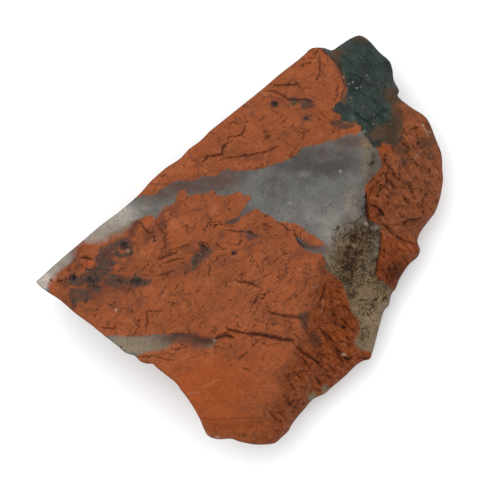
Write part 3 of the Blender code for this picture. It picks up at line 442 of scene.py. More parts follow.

# Cracks: (half width in pixels, depth in millimetres, how dark, points). Their darkness is partly the
# filling of veins and partly painted shade in the crevices.
CRACKS = [
    (1.0, 0.22, 0.9, [
        (203, 162), (206, 160), (207, 156), (213, 156), (222, 154.5), (222.5, 147.5), (228.5, 142.5),
    ]),
    (0.9, 0.20, 0.8, [
        (227.5, 140), (228, 137.5), (231, 136.5), (241, 135.5), (242.5, 133), (244.5, 130), (245, 126),
    ]),
    (0.6, 0.10, 0.5, [(243.5, 121), (245, 117), (246, 113.5)]),
    (0.7, 0.12, 0.5, [(241, 135.5), (247, 138.5)]),
    (0.8, 0.14, 0.8, [
        (222, 159.5), (232, 157), (242, 156), (250, 155), (257, 153.5), (269, 151), (276, 147), (279, 146),
    ]),
    (0.6, 0.08, 0.4, [(192, 161), (200, 158), (206, 155)]),
    (0.6, 0.10, 0.5, [(261, 120), (264, 118), (264, 112)]),
    (0.6, 0.10, 0.4, [(268, 103), (270, 107), (273, 111), (278, 113.5), (282, 116)]),
    (0.8, 0.14, 0.7, [(264, 90.5), (275, 91.5), (280, 94), (288, 98.5), (294, 100), (306, 99), (313, 102)]),
    (0.9, 0.16, 0.8, [(271, 84.5), (284, 86), (289, 84.5), (294, 85.5), (297, 83), (300, 87)]),
    (0.6, 0.16, 0.85, [(319.5, 56), (320.2, 63), (319.8, 72), (318, 77), (316.5, 80)]),
    (0.8, 0.10, 0.5, [(318, 109), (323, 115), (328, 119), (333, 123)]),
    (0.5, 0.05, 0.6, [(81, 264), (84, 268), (90, 269.8), (96, 268.5)]),
    (0.7, 0.12, 0.6, [(302, 142), (303, 137), (304, 134), (298, 131.5), (294, 131)]),
    (0.6, 0.10, 0.5, [(262, 138), (266, 136), (269, 133), (274, 130)]),
    (0.7, 0.10, 0.5, [(302, 88.5), (311, 88)]),
    (1.2, 0.22, 0.9, [(142, 224), (145, 230), (150, 233), (153, 232)]),
    (0.9, 0.12, 0.5, [(156, 221), (158, 226), (161, 230), (165, 234), (165, 246), (166, 252)]),
    (1.1, 0.22, 0.9, [(80, 258), (86, 257.5), (92, 260)]),
    (0.9, 0.16, 0.8, [(102, 327.5), (108, 328), (113, 329), (116, 327)]),
    (0.9, 0.14, 0.7, [(147, 311), (147.5, 318), (147, 325), (146, 330)]),
    (0.7, 0.12, 0.6, [(147, 311), (152, 311), (158, 312), (163, 310)]),
    (0.8, 0.14, 0.8, [(226, 230), (234, 231), (244, 232), (250, 232), (256, 236)]),
    (0.6, 0.10, 0.5, [(247, 222), (245, 230)]),
    (0.8, 0.12, 0.6, [(262, 224), (268, 226), (272, 227)]),
    (0.8, 0.14, 0.7, [(272, 265), (276, 260), (277, 258)]),
    (0.7, 0.12, 0.6, [(280, 264), (283, 261)]),
    (0.9, 0.16, 0.8, [(239, 276), (245, 273)]),
    (0.9, 0.18, 0.8, [(236, 280), (240, 282), (248, 282), (253, 285), (259, 287)]),
    (1.0, 0.16, 0.8, [(250, 302), (254, 303), (257, 298), (260, 295), (265, 295), (269, 292)]),
    (0.7, 0.12, 0.7, [(266, 303), (268, 308), (271, 309)]),
    (1.2, 0.16, 0.8, [(266, 310), (271, 313), (281, 315), (290, 317), (299, 317), (303, 319)]),
    (0.6, 0.10, 0.5, [(287, 321), (292, 324)]),
    (1.3, 0.16, 0.7, [(158, 259), (166, 256), (174, 254), (178, 250)]),
    (1.0, 0.12, 0.6, [(158, 276), (168, 273), (176, 270)]),
    (1.3, 0.26, 0.9, [(226, 327), (228, 329.5), (240, 332), (247, 333.5)]),
    (2.0, 0.28, 1.0, [(247, 333.5), (258, 334.5), (268, 336), (275, 337.5), (282, 340), (292, 340)]),
    (1.0, 0.22, 0.8, [(292, 340), (295, 345)]),
    (0.9, 0.12, 0.8, [(321, 49), (327, 54), (334, 59.5), (339, 66), (343, 76), (345, 87), (341, 98)]),
    (0.6, 0.08, 0.7, [
        (198, 244), (202, 242), (206.5, 242.5), (208.5, 246), (207, 250), (202.5, 251.5), (198, 249.5),
    ]),
    (2.1, 0.30, 1.0, [(215.5, 338.8), (219, 336.6), (224, 335.4), (229, 335.6), (234, 337.8)]),
    (1.0, 0.20, 0.9, [(221, 334.5), (226, 332.5), (230, 334)]),
    (1.9, 0.10, 0.5, [(170, 334.5), (182, 334), (190, 335.5), (197, 338.5), (206, 341), (213, 341.5)]),
    (0.7, 0.12, 0.7, [(172, 350), (182, 348), (190, 345)]),
    (1.1, 0.12, 0.6, [(322.5, 256), (325.5, 262), (329, 269), (334, 274), (339, 278)]),
    (0.7, 0.14, 0.6, [(138, 356), (146, 357), (154, 356), (160, 358), (167, 360), (173, 360)]),
    (1.0, 0.18, 0.8, [(239, 359), (244, 355), (247, 352)]),
    (1.0, 0.14, 0.7, [(243, 368), (247, 369), (251, 371)]),
    (0.8, 0.14, 0.6, [(250, 348), (255, 344), (258, 340), (263, 339.5)]),
    (0.7, 0.12, 0.5, [(266, 346), (273, 344), (281, 344)]),
    (0.6, 0.10, 0.5, [(228, 366), (231, 365)]),
    (0.8, 0.12, 0.6, [(170, 250), (178, 248), (185, 245), (190, 246)]),
    (0.8, 0.14, 0.7, [(163, 263), (170, 262), (176, 259), (184, 259)]),
    (0.7, 0.12, 0.6, [(220, 221.5), (215, 222), (208, 223)]),
    (0.6, 0.10, 0.5, [(200, 419), (215, 419.5), (240, 418), (263, 418)]),
    (0.9, 0.14, 0.8, [(277, 222), (283, 225), (287, 229.5), (291, 230)]),
    (1.0, 0.16, 0.8, [(294, 231), (296, 236), (299, 242), (304, 247)]),
    # the slope at the lower right
    (0.8, 0.20, 0.7, [(285, 315), (293, 316), (300, 317)]),
    (0.6, 0.25, 0.6, [(304, 322), (308, 329), (313, 336), (318, 345)]),
    (0.9, 0.30, 0.8, [(319, 327), (325, 333), (329, 340)]),
    (0.9, 0.30, 0.9, [(324, 324), (333, 323), (341, 327), (345, 330)]),
    (0.8, 0.25, 0.8, [(349, 327), (355, 331), (357, 334)]),
    (0.8, 0.30, 0.7, [(325, 283), (324, 290), (322, 296), (320, 305)]),
    (1.0, 0.35, 1.0, [(335, 343), (337, 349), (341, 355), (345, 358.5), (349, 359), (353, 356)]),
    (0.8, 0.25, 0.8, [(337, 341), (345, 342), (353, 345)]),
    (1.1, 0.35, 1.0, [(295, 345), (302, 352), (309, 356), (315, 360), (320, 366), (324, 369)]),
    (0.8, 0.30, 0.9, [(329, 364), (333, 370), (336, 373)]),
    (0.8, 0.25, 0.8, [(302, 371), (310, 372)]),
    (0.9, 0.30, 0.9, [(314, 374), (317, 379), (320, 385)]),
    (0.8, 0.25, 0.9, [(285, 401), (290, 404.5), (296, 407.5)]),
    (0.7, 0.20, 0.8, [(294, 334), (298, 337)]),
    (0.7, 0.20, 0.7, [(288, 320), (291, 323)]),
    (0.6, 0.20, 0.7, [(335, 286), (339, 287.5)]),
    (0.8, 0.25, 0.9, [(360, 358), (366, 359), (371, 358)]),
    (0.6, 0.20, 0.7, [(375, 284), (378, 289), (384, 290)]),
    (0.7, 0.20, 0.7, [(268, 410), (273, 416), (280, 422)]),
    (0.7, 0.20, 0.7, [(284, 372), (290, 380), (294, 390)]),
    (0.8, 0.20, 0.9, [(303, 327), (308, 334), (313, 341)]),
    (0.8, 0.20, 0.9, [(325, 331), (331, 339), (335, 344)]),
    (0.8, 0.20, 0.9, [(341, 318), (346, 324)]),
    (0.8, 0.20, 0.9, [(331, 312), (337, 318)]),
    (0.8, 0.20, 0.9, [(345, 336), (351, 340)]),
    (0.8, 0.20, 0.9, [(300, 356), (306, 362), (311, 370)]),
    (0.8, 0.20, 0.9, [(318, 352), (326, 358)]),
    (0.8, 0.20, 0.9, [(335, 350), (339, 357)]),
    (0.8, 0.20, 0.9, [(322, 372), (327, 379)]),
    (0.8, 0.20, 0.9, [(290, 385), (297, 392)]),
    (0.8, 0.20, 0.9, [(283, 395), (290, 402)]),
    (0.8, 0.20, 0.9, [(295, 372), (301, 379)]),
    (0.8, 0.20, 0.9, [(345, 305), (350, 312)]),
    # the lobe and the block at the right
    (2.2, 0.60, 1.0, [(378.5, 208.5), (381.5, 212), (384, 214.8)]),
    (0.6, 0.12, 0.7, [(399, 256), (397.5, 259), (396, 260)]),
    (0.5, 0.10, 0.6, [(387, 234), (388, 240), (387.5, 245)]),
    (0.5, 0.10, 0.6, [(391, 243), (391.5, 249), (389.5, 254)]),
    (0.5, 0.10, 0.6, [(384, 247), (385, 253), (383.5, 258)]),
    (1.0, 0.60, 1.0, [(371, 204.4), (375.7, 206.5), (378.3, 208.2), (381.8, 211.5), (385.2, 215)]),
    (0.7, 0.30, 0.9, [(372, 217.3), (375.7, 217), (378.3, 213.5), (378.7, 210)]),
    (1.8, 0.40, 1.0, [(365.6, 192), (366, 200), (366.5, 208), (367, 214), (368, 219)]),
    (1.0, 0.35, 0.9, [
        (383, 223), (386.5, 227.5), (389.5, 230.3), (394.7, 234.6), (399, 238), (403.4, 240.2),
    ]),
    (0.7, 0.20, 0.7, [(385, 225), (391, 229), (396, 233)]),
    (1.1, 0.35, 0.9, [(403.4, 240.2), (410.3, 242.4), (414.6, 244)]),
    (0.8, 0.40, 0.9, [(401.6, 225.5), (405, 222), (408.5, 219.5), (414.6, 219.5), (421.5, 218)]),
    (0.9, 0.25, 0.7, [(422.4, 219), (422.8, 224)]),
    (0.9, 0.35, 0.9, [
        (383, 159), (385, 163), (388, 165.5), (388.5, 171), (386, 175), (387.5, 180), (384, 186),
    ]),
    (0.8, 0.30, 0.8, [(380, 176), (384, 173), (388, 174.5)]),
    (0.7, 0.30, 0.8, [(388, 171), (392, 173.5), (394.5, 178)]),
    (0.9, 0.30, 0.8, [(379, 186), (379.5, 192)]),
    (0.8, 0.30, 0.8, [(387.5, 180), (391, 182), (393, 187), (396, 190)]),
    (0.7, 0.30, 0.7, [(381, 184), (380, 190), (378, 194)]),
    (0.8, 0.20, 0.6, [(400, 213), (401, 217)]),
    (0.9, 0.25, 0.7, [(402, 133), (403.4, 138.4), (407, 142)]),
    (0.8, 0.25, 0.7, [(411, 130), (417, 127), (421, 127)]),
    (0.8, 0.30, 0.8, [(380, 229), (380.7, 237), (379.5, 251), (377, 262), (375.8, 277)]),
    (0.9, 0.25, 0.7, [(369, 200), (370, 192), (374, 186), (380, 181)]),
]
# Lint and scratches: (half width in pixels, points)
PALE_LINES = [
    (0.5, [(312, 288), (315, 287), (318, 285)]),
    (0.5, [(323, 299), (323.5, 303), (322.5, 307), (321.5, 312)]),
    (0.5, [(421.5, 150), (419, 154), (414.6, 159)]),
    (1.0, [(424.5, 127), (426.5, 131), (428.5, 136)]),
    (0.6, [(430, 131), (431, 134)]),
    (0.35, [(205, 386), (211, 384), (217, 380)]),
    (0.35, [(185, 395), (192, 393), (200, 392)]),
]
# Pits: (x, y, radius, in pixels, and depth in millimetres). Their walls get painted shade.
PITS = [
    (51, 280, 1.6, 0.30), (58, 281.5, 1.4, 0.25), (61, 281, 1.4, 0.25), (372, 163.5, 1.8, 0.5),
    (371, 166, 1.4, 0.4), (373, 161.5, 1.2, 0.4), (385, 160, 2.0, 0.4), (382, 214, 2.6, 0.5),
    (404.7, 259.6, 1.3, 0.25), (377.5, 196, 1.6, 0.25), (234, 254, 1.2, 0.12), (124, 244, 1.5, 0.15),
    (138, 281, 1.5, 0.12), (74, 278, 1.5, 0.15), (204, 246, 1.8, 0.2), (275, 104, 1.6, 0.15),
    (392, 77, 1.4, 0.15), (310, 63, 1.4, 0.15), (303, 67, 1.2, 0.12), (317, 79, 1.4, 0.15),
    (185, 205, 1.1, 0.1), (187, 198, 1.1, 0.1), (228, 205, 1.0, 0.1), (331, 302, 1.5, 0.3),
    (343.5, 328, 1.9, 0.35), (374, 126, 1.2, 0.15), (371, 123.5, 1.1, 0.12), (388, 123, 1.3, 0.12),
    (377, 107, 1.1, 0.1), (384.5, 111.5, 1.0, 0.1), (379, 90, 1.0, 0.1), (382, 83, 1.3, 0.15),
    (385, 87, 1.2, 0.15), (389, 119, 1.1, 0.12), (389.5, 127, 1.2, 0.12), (418, 143, 1.6, 0.2),
    (416, 188, 1.8, 0.15), (182, 345, 1.2, 0.1), (132, 312, 1.4, 0.12), (160, 266, 1.3, 0.12),
    (203, 307, 1.1, 0.1), (222, 348, 1.2, 0.1), (121, 347.5, 1.4, 0.2), (193, 320, 1.1, 0.1),
    (330, 205, 0.9, 0.08), (357, 205, 1.2, 0.2), (263, 360, 1.1, 0.1), (270, 412, 1.3, 0.15),
    (303, 404, 1.3, 0.2), (357, 281.5, 1.2, 0.15), (372.5, 307, 1.4, 0.15), (376, 300, 1.2, 0.15),
    (405, 162, 1.6, 0.2), (388, 203, 1.4, 0.15),
]
VEIN_DIP = (0.45, 0.55)  # how far the pattern moves on the plan, in pixels, for each pixel of depth

# Colours as they show in the scene's light, in 256 steps of red, green and blue
COLOURS = {
    "red, brown": (147, 82, 51),
    "red, orange": (156, 86, 53),
    "red, light": (166, 98, 65),
    "fleck": (92, 52, 36),
    "speck": (62, 40, 30),
    "pebble": (166, 86, 52),
    "dark patch": (98, 67, 57),
    "dark patch, green": (80, 71, 61),
    "blue-black": (54, 48, 46),
    "rind, dark, and hollow shade": (80, 44, 26),
    "rind": (140, 71, 39),
    "red, glowing": (161, 80, 40),
    "red, smoky": (108, 64, 49),
    "rind, dusty": (142, 84, 57),
    "rind, light": (164, 97, 63),
    "chalcedony, dark": (78, 75, 72),
    "chalcedony": (107, 105, 101),
    "chalcedony, white": (182, 172, 162),
    "chalcedony, warm": (144, 122, 91),
    "pale fibre": (150, 129, 100),
    "chalcedony, purple": (90, 67, 59),
    "chalcedony, dusky": (80, 58, 39),
    "chalcedony, rusty": (92, 60, 46),
    "dendrite": (50, 37, 24),
    "dendrite, rusty": (108, 82, 48),
    "green, dark": (48, 56, 54),
    "green, light": (73, 82, 76),
    "green, brown": (84, 68, 55),
    "green, gold": (112, 92, 62),
    "crack": (44, 28, 20),
    "pale mark": (196, 178, 156),
}
DAYLIGHT = 1.355  # how much brighter a white surface comes out than its own colour
SHEEN = 0.0113  # what the surface's soft gloss adds
GLOSS = 0.11
DARKEST_PAINT = 0.002
# How a screen's steps stand for light: the darkest ones in proportion, the others by a power
COLOUR_STEPS = 255
SCREEN_DARK = 0.04045
SCREEN_DARK_SLOPE = 12.92
SCREEN_OFFSET = 0.055
SCREEN_POWER = 2.4

FLECK_ANGLE = 0.0  # flecks of the red lie along the long edge
GRAIN_TURN = np.radians(-88.0)  # the skin's grain on the stone's own axes
STRIATION_ANGLE = np.radians(-75.0)
GRAIN_DEPTH = 0.00012  # metres

# The material's noise patterns: size in millimetres, detail, roughness and distortion
NOISES = {
    "cloud": (9.0, 3.0, 0.5, 0.0),
    "mottle": (2.2, 4.0, 0.6, 0.0),
    "grain": (0.42, 3.0, 0.65, 0.0),
    "dust": (0.16, 2.0, 0.6, 0.0),
    "borders": (0.8, 4.0, 0.6, 0.0),
    "orange": (7.0, 3.0, 0.5, 0.0),
    "smoke": (1.5, 5.0, 0.62, 0.6),
    "seam places": (3.0, 2.0, 0.5, 0.0),
    "flecks": (0.42, 3.0, 0.6, 0.0),
    "speck places": (4.0, 2.0, 0.5, 0.0),
    "patch border": (1.1, 6.0, 0.7, 0.0),
    "greenish": (1.2, 4.0, 0.6, 0.0),
    "patch threads": (1.0, 5.0, 0.65, 0.8),
    "patch islands": (1.4, 4.0, 0.6, 0.5),
    "ink": (0.9, 5.0, 0.65, 0.5),
    "rind fibres": (0.7, 6.0, 0.72, 0.0),
    "vein clouds": (3.4, 4.0, 0.55, 0.4),
    "dusk": (1.6, 5.0, 0.65, 0.0),
    "dendrites": (1.9, 5.0, 0.62, 1.4),
    "dendrite places": (1.9, 4.0, 0.6, 0.0),
    "moss": (0.9, 6.0, 0.72, 1.2),
    "moss places": (2.4, 3.0, 0.5, 0.0),
    "rusty moss": (1.1, 5.0, 0.7, 1.0),
    "pale fibres": (0.8, 4.0, 0.65, 1.6),
    "striations": (0.8, 6.0, 0.72, 0.5),
    "pinhole places": (3.0, 2.0, 0.5, 0.0),
    "hair": (2.6, 4.0, 0.55, 0.0),
    "hair places": (1.7, 3.0, 0.5, 0.0),
}
# Which of them are stretched: along what angle, and how much
STRETCHES = {
    "smoke": (FLECK_ANGLE, 2.4),
    "flecks": (FLECK_ANGLE, 3.0),
    "hair": (FLECK_ANGLE, 2.2),
    "rind fibres": (GRAIN_TURN, 2.4),
    "striations": (STRIATION_ANGLE, 3.0),
}
# Cells: size in millimetres, and what is measured
CELLS = {"seams": (3.4, "DISTANCE_TO_EDGE"), "specks": (1.3, "F1"), "pinholes": (1.5, "F1")}
SEAM_WARP = (1.6, 2.0)  # the size of the noise that bends the seams, and how far, in millimetres
# The values at which something begins to show, and shows in full
LIMITS = {
    "orange": (0.38, 0.62),
    "light": (0.50, 0.70),
    "smoke": (0.62, 0.46),
    "seams": (0.10, 0.0),
    "seam places": (0.42, 0.58),
    "worn": (0.1, 0.6),
    "flecks": (0.60, 0.66),
    "specks": (0.13, 0.07),
    "speck places": (0.42, 0.55),
    "pebble": (-0.08, 0.12),
    "beside green": (-2.2, -0.2),
    "patch border": (-0.60, 0.05),
    "greenish": (0.46, 0.60),
    "patch threads": (0.05, 0.01),
    "patch islands": (0.60, 0.66),
    "ink": (0.30, 0.75),
    "ink places": (0.0, 0.2),
    "rind fibres": (0.36, 0.47),
    "light fibres": (0.50, 0.60),
    "painted_hollow_shade": (0.50, 0.90),
    "milkiest_and_most_edge_lit": (0.2, 0.45),
    "grey": (-0.32, 0.05),
    "milk_and_edge_light": (0.02, 0.75),
    "dusk": (0.05, 0.85),
    "dendrites": (0.040, 0.012),
    "dendrite places": (0.40, 0.60),
    "dendrites, speckled": (0.0, 0.4),
    "moss": (0.58, 0.64),
    "moss, speckled": (0.0, 0.5),
    "rusty moss": (0.50, 0.60),
    "pale fibres": (0.035, 0.010),
    "green, light": (0.30, 0.72),
    "green, rusty": (0.2, 0.8),
    "pinholes": (0.14, 0.07),
    "pinhole places": (0.46, 0.54),
    "hair": (0.011, 0.003),
    "hair places": (0.50, 0.60),
    "rim": (0.22, 0.0),
}
# How far patterns swing round 0
SWINGS = {
    "borders": 0.7,
    "patch border": 2.4,
    "ink": 3.2,
    "vein clouds": 0.5,
    "vein mottle": 0.2,
    "dusk": 1.3,
    "dendrite places": 0.24,
    "moss places": 0.16,
    "green, light": 1.1,
    "green, rusty": 1.6,
    "cloud": 0.12,
    "mottle": 0.3,
    "grain": 0.9,
    "dust": 0.8,
    "roughness": 0.2,
}
# Coats of paint: the colour, and how much of it covers what is below
COATS = {
    "orange": ("red, orange", 1.0),
    "light": ("red, light", 0.6),
    "glowing": ("red, glowing", 0.8),
    "smoke": ("red, smoky", 1.0),
    "flecks": ("fleck", 1.0),
    "specks": ("speck", 0.8),
    "pebble": ("pebble", 0.9),
    "beside green": ("green, brown", 0.75),
    "greenish": ("dark patch, green", 1.0),
    "patch threads": ("blue-black", 0.7),
    "ink": ("blue-black", 0.9),
    "light fibres": ("rind, light", 1.0),
    "painted_hollow_shade": ("rind, dark, and hollow shade", 1.0),
    "grey": ("chalcedony", 1.0),
    "milk_and_edge_light": ("chalcedony, white", 1.0),
    "warm": ("chalcedony, warm", 0.9),
    "purple": ("chalcedony, purple", 0.85),
    "rusty": ("chalcedony, rusty", 0.85),
    "dusk": ("chalcedony, dusky", 0.85),
    "rusty moss": ("dendrite, rusty", 0.5),
    "pale fibres": ("pale fibre", 0.75),
    "dendrites": ("dendrite", 0.88),
    "green, light": ("green, light", 1.0),
    "green, rusty": ("green, brown", 1.0),
    "pinholes": ("green, gold", 0.9),
    "crack": ("crack", 0.92),
    "pale mark": ("pale mark", 0.8),
}
# Numbers that change with a share: what they are where it is 0, and where it is 1
PAIRS = {
    "smoke": (0.10, 1.0),
    "seams": (0.65, 0.1),
    "worn": (1.0, 0.2),
    "flecks": (0.2, 0.9),
    "patch on the skin": (1.0, 0.6),
    "patch islands": (0.92, 0.3),
    "light fibres": (0.7, 0.9),
    "painted_hollow_shade": (0.75, 0.4),
    "vein clouds": (1.0, 0.4),
    "hair": (0.75, 0.15),
    "roughness": (0.64, 0.42),
    "coarseness": (0.8, 0.3),
}
# Half widths of the borders in millimetres, where they are sharp, and what softness adds
VEIN_BORDER = (0.12, 0.9)
GREEN_BORDER = (0.15, 0.6)
GREEN_WANDER = 2.0
PEBBLE_WANDER = 0.4
MOSS_IN_THE_DUSK = 0.11
# Painted shade: how much darker the stone is painted right by its outline
RIM_PAINTED_SHADE = 0.3
GREEN_ROUGHNESS = 0.55
SKIN_ROUGHNESS = 0.72
SKIN_ROUGHNESS_SHARE = 0.8
SKIN_COARSENESS = 3.4
DUST_HEIGHT = 0.5
MIX_SOCKETS = {"FLOAT": (2, 3, 0), "RGBA": (6, 7, 2)}  # the places of both inputs and of the result

# Where the parts lie on the texture: left, bottom and size of a millimetre, or width and height
TOP_TEXTURE = np.array((0.01, 0.445, 0.0121))
UNDERSIDE_TEXTURE = np.array((0.01, 0.005, 0.0070))
SIDE_TEXTURE = np.array((0.01, 0.35, 0.98, 0.08))

# Fine relief, in millimetres: (how far apart, how deep)
FINE_SKIN_BOWLS = [(0.6, 0.10)]
SPLINTERS = [(1.5, 0.34), (0.75, 0.20)]
SPLINTER_SHARES = (0.55, 0.45, 0.25)  # of a splinter's depth: its own height, its slope and its crevice
SPLINTER_CREVICE = 0.16  # how wide the crevice between two splinters is, for a splinter of 1
SPLINTER_CELLS = (7.3, 5.1)  # multiples of a splinter's middle that its height and slope are drawn from
FIBRES = (1.5, 0.14, 1.8)  # size across the grain, depth, and how much further they are stretched
FIBRE_EDGE = 0.45  # the noise at which a furrow between fibres ends
DEEPEST_FINE = sum(depth for _, depth in FINE_SKIN_BOWLS + SPLINTERS) + FIBRES[1]
FINE_SIDE_BOWLS = [(1.1, 0.16), (0.5, 0.05)]
FINE_UNDERSIDE_BOWLS = [(1.3, 0.14), (0.6, 0.05)]
SAWN_WAVES = [(2.6, 0.018), (0.7, 0.012)]
UNDERSIDE_WAVES = (5, 0.25)
SMOOTH_FACET_FINE = 0.3  # how much of the fine relief a facet with no roughness would keep
BOWL_SHARPNESS = 1.5
RIM_CHIPS = (1.7, 0.55, 0.28)  # how far apart, how far they reach in and how deep they are, in millimetres
CHIP_LIMITS = (0.05, 0.6)  # the noise at which a chip begins, and is deepest

# How far from an edge, in pixels, something comes to its full strength
SKIN_EDGE = 8.0
FULL_WANDER = 14
FULL_BOWLS = 24
FULL_FINE_BOWLS = 10
FULL_WAVES = 8

# How far points wander, in pixels, and the size of the noise that moves them, in millimetres
SKIN_WANDER = 2.2
WANDER_SIZE = 3.6
RAGGEDNESS = 2.2  # the same for the creases of the top
RAGGED_SIZE = 1.6
TORN = 0.12  # how far splinters wander, in millimetres

# How cracks run, in pixels, with the noise's sizes in millimetres
CRACK_STEP = 0.7
CRACK_WANDER = 0.7
CRACK_WANDER_SIZE = 0.9
CRACK_WANDER_END = 3  # how far from a crack's end it wanders in full
CRACK_SWELLING = (0.8, 0.6)  # its width: the usual share of the given one, and how much that varies
CRACK_SWELLING_SIZE = 0.8
CRACK_TAPER = (0.35, 5)  # how wide the end is, and how long the taper is
THINNEST_CRACK = 0.3
CRACK_REACH = 1.7  # in half widths
CRACK_DARK_POWER = 0.7
PALE_LINE_STRENGTH = 0.35
PIT_UNEVENNESS = (0.4, 0.5)  # in radii, and the noise's size
PIT_REACH = 1.2  # in radii
PIT_WALL = (0, 0.8)  # where a pit's wall begins and ends, in radii from its border
# Painted shade in the pits: where it begins and ends on the wall, and how dark it is
PIT_DARK_WALL = (0.1, 1.0)
PIT_DARKNESS = 0.75

# The mesh's points beside cracks, lines, pits and grains: steps in pixels, and shares of their half widths
CRACK_MESH_STEP = 1.2
PALE_MESH_STEP = 1.4
BESIDE_SHARES = (-1.6, -0.75, 0.75, 1.6)
RING_SHARES = (0.5, 1.0)
RING_TURNS = np.radians(np.arange(0, 360, 45))
HEXAGON_TURNS = np.radians(np.arange(0, 360, 60))
CLEARANCE = 0.5  # the least distance between points, as a share of a step
ROW_SPACING = 3**0.5 / 2  # of a grid of equal triangles
GRID_NUDGE = 0.2
SAME_POINT = 1e-6
INSIDE_ONLY, WHOLE_HULL = 1, 0  # what a triangulation keeps

# Curves, spots and heights
CENTRIPETAL = 0.5
CURVE_POINTS = 12
OUTLINE_CURVE_STEP = 2.5
SPOT_FADE = (0.35, 1.45)  # where a soft spot begins and ends to fade, in half widths
RAY_START = 99.0
TOP_SOFTENING = 1.2
UNDERSIDE_SOFTENING = 2.0
SIDE_BOW = (0.45, 0.55, 1.7)  # the sides' bulge: an even share, a late share and how late it is
# How hollow the sides count, for the painted shade in hollows
SIDE_FADE = 0.6
SIDE_HOLLOWNESS = 0.5
# The two corners of the outline between which the skin, and not the sawn face, forms the edge
SKIN_STARTS = (316, 47.5)
SKIN_ENDS = (200, 419.5)

# How far markings wander inside the stone: the noise's size, how far, and the depth where that is in full
VEIN_WANDER = (6.0, 14, 20)
RIND_EDGE = 20  # where the change from bare to weathered red ends, in pixels from the sawn face
RIND_START = 1  # where that change begins, in pixels from the sawn face
RIND_RAGGEDNESS = (5, 1.2, 6)  # in pixels, the noise's size, and how far from the edge it is in full
NO_PATCH = -3  # a depth inside the dark patches that is far outside all of them

# What sets one use of the noise apart from another
SEEDS = {
    "wander": (1, 2),
    "raggedness": (3, 4),
    "underside waves": 5,
    "sawn waves": 7,
    "chips": 8,
    "fibres": 9,
    "vein": (11, 12),
    "rind": 13,
    "pits": (15, 16),
    "crack wander": 21,
    "crack width": 22,
    "splinters": 31,
}
SKIN_GRID, SAWN_GRID, UNDERSIDE_GRID = 1, 2, 3  # seeds of the grids' nudges
SEED_SHIFT = np.array([17.3, -11.9, 5.1])  # how far apart two seeds read the noise
NOISE_DECAY = 0.9
NOISE_REFINEMENT = 2.0  # how much finer each octave is
OCTAVES = 4
FEW_OCTAVES = 3


# Plan geometry


def smooth_loop(points, step):
    """Points at even steps along the closed centripetal Catmull-Rom curve through the given ones."""
    points = np.array(points, float)
    fine = []
    for i in range(len(points)):
        p0, p1, p2, p3 = (points[(i + k) % len(points)] for k in (-1, 0, 1, 2))
        t1 = np.linalg.norm(p1 - p0) ** CENTRIPETAL
        t2 = t1 + np.linalg.norm(p2 - p1) ** CENTRIPETAL
        t3 = t2 + np.linalg.norm(p3 - p2) ** CENTRIPETAL
        for t in np.linspace(t1, t2, CURVE_POINTS, endpoint=False):
            a1 = ((t1 - t) * p0 + t * p1) / t1
            a2 = ((t2 - t) * p1 + (t - t1) * p2) / (t2 - t1)
            a3 = ((t3 - t) * p2 + (t - t2) * p3) / (t3 - t2)
            b1 = ((t2 - t) * a1 + t * a2) / t2
            b2 = ((t3 - t) * a2 + (t - t1) * a3) / (t3 - t1)
            fine.append(((t2 - t) * b1 + (t - t1) * b2) / (t2 - t1))
    return even_steps(np.array(fine + fine[:1]), step)[:-1]


def even_steps(chain, step):
    """Points at even steps of about the given length along a chain, both of its ends included."""
    chain = np.array(chain, float)
    along = np.concatenate([[0], np.cumsum(np.linalg.norm(np.diff(chain, axis=0), axis=1))])
    at = np.linspace(0, along[-1], max(round(along[-1] / step), 1) + 1)
    return np.stack([np.interp(at, along, column) for column in chain.T], axis=1)


def distance_to_chain(points, chain, closed=False):
    """Each point's distance to the nearest of the chain's segments."""
    chain = np.array(chain, float)[:, :2]
    ends = np.roll(chain, -1, axis=0) if closed else chain[1:]
    best = np.full(len(points), np.inf)
    for a, b in zip(chain, ends):
        run = b - a
        share = np.clip(((points - a) @ run) / (run @ run), 0, 1)
        best = np.minimum(best, np.linalg.norm(points - a - share[:, None] * run, axis=1))
    return best


def inside_loop(points, loop):
    """True for each point that lies inside the closed loop."""
    loop = np.array(loop, float)[:, :2]
    crossings = np.zeros(len(points), int)
    x, y = points.T
    for (x1, y1), (x2, y2) in zip(loop, np.roll(loop, -1, axis=0)):
        spans = (y1 > y) != (y2 > y)
        with np.errstate(divide="ignore", invalid="ignore"):
            crossings += spans & (x < x1 + (y - y1) / (y2 - y1) * (x2 - x1))
    return crossings % 2 == 1


def distance_outside(points, loop):
    """Each point's distance to the closed loop, 0 inside it."""
    return distance_to_chain(points, loop, closed=True) * ~inside_loop(points, loop)


def depth_inside(points, loops):
    """How far inside the nearest of the loops each point lies, in millimetres; below 0 outside them."""
    best = np.full(len(points), -np.inf)
    for loop in loops:
        side = np.where(inside_loop(points, loop), 1, -1)
        best = np.maximum(best, side * distance_to_chain(points, loop, closed=True) * MM)
    return best


def soft_spots(points, spots):
    """The sum of soft round spots (x, y, half width, half height, amount) at each point."""
    total = np.zeros(len(points))
    for x, y, width, height, amount in spots:
        away = np.hypot((points[:, 0] - x) / width, (points[:, 1] - y) / height)
        total += amount * (1 - smoothstep(away, *SPOT_FADE))
    return total


def scatter(loop, step, seed):
    """Points about a step apart over the loop's box: a grid whose points are nudged by chance."""
    low, high = loop.min(axis=0), loop.max(axis=0)
    rows = np.arange(low[1], high[1], step * ROW_SPACING)
    columns = np.arange(low[0], high[0], step)
    grid = np.array([(x + (i % 2) * step / 2, y) for i, y in enumerate(rows) for x in columns])
    return grid + np.random.default_rng(seed).uniform(-GRID_NUDGE, GRID_NUDGE, grid.shape) * step


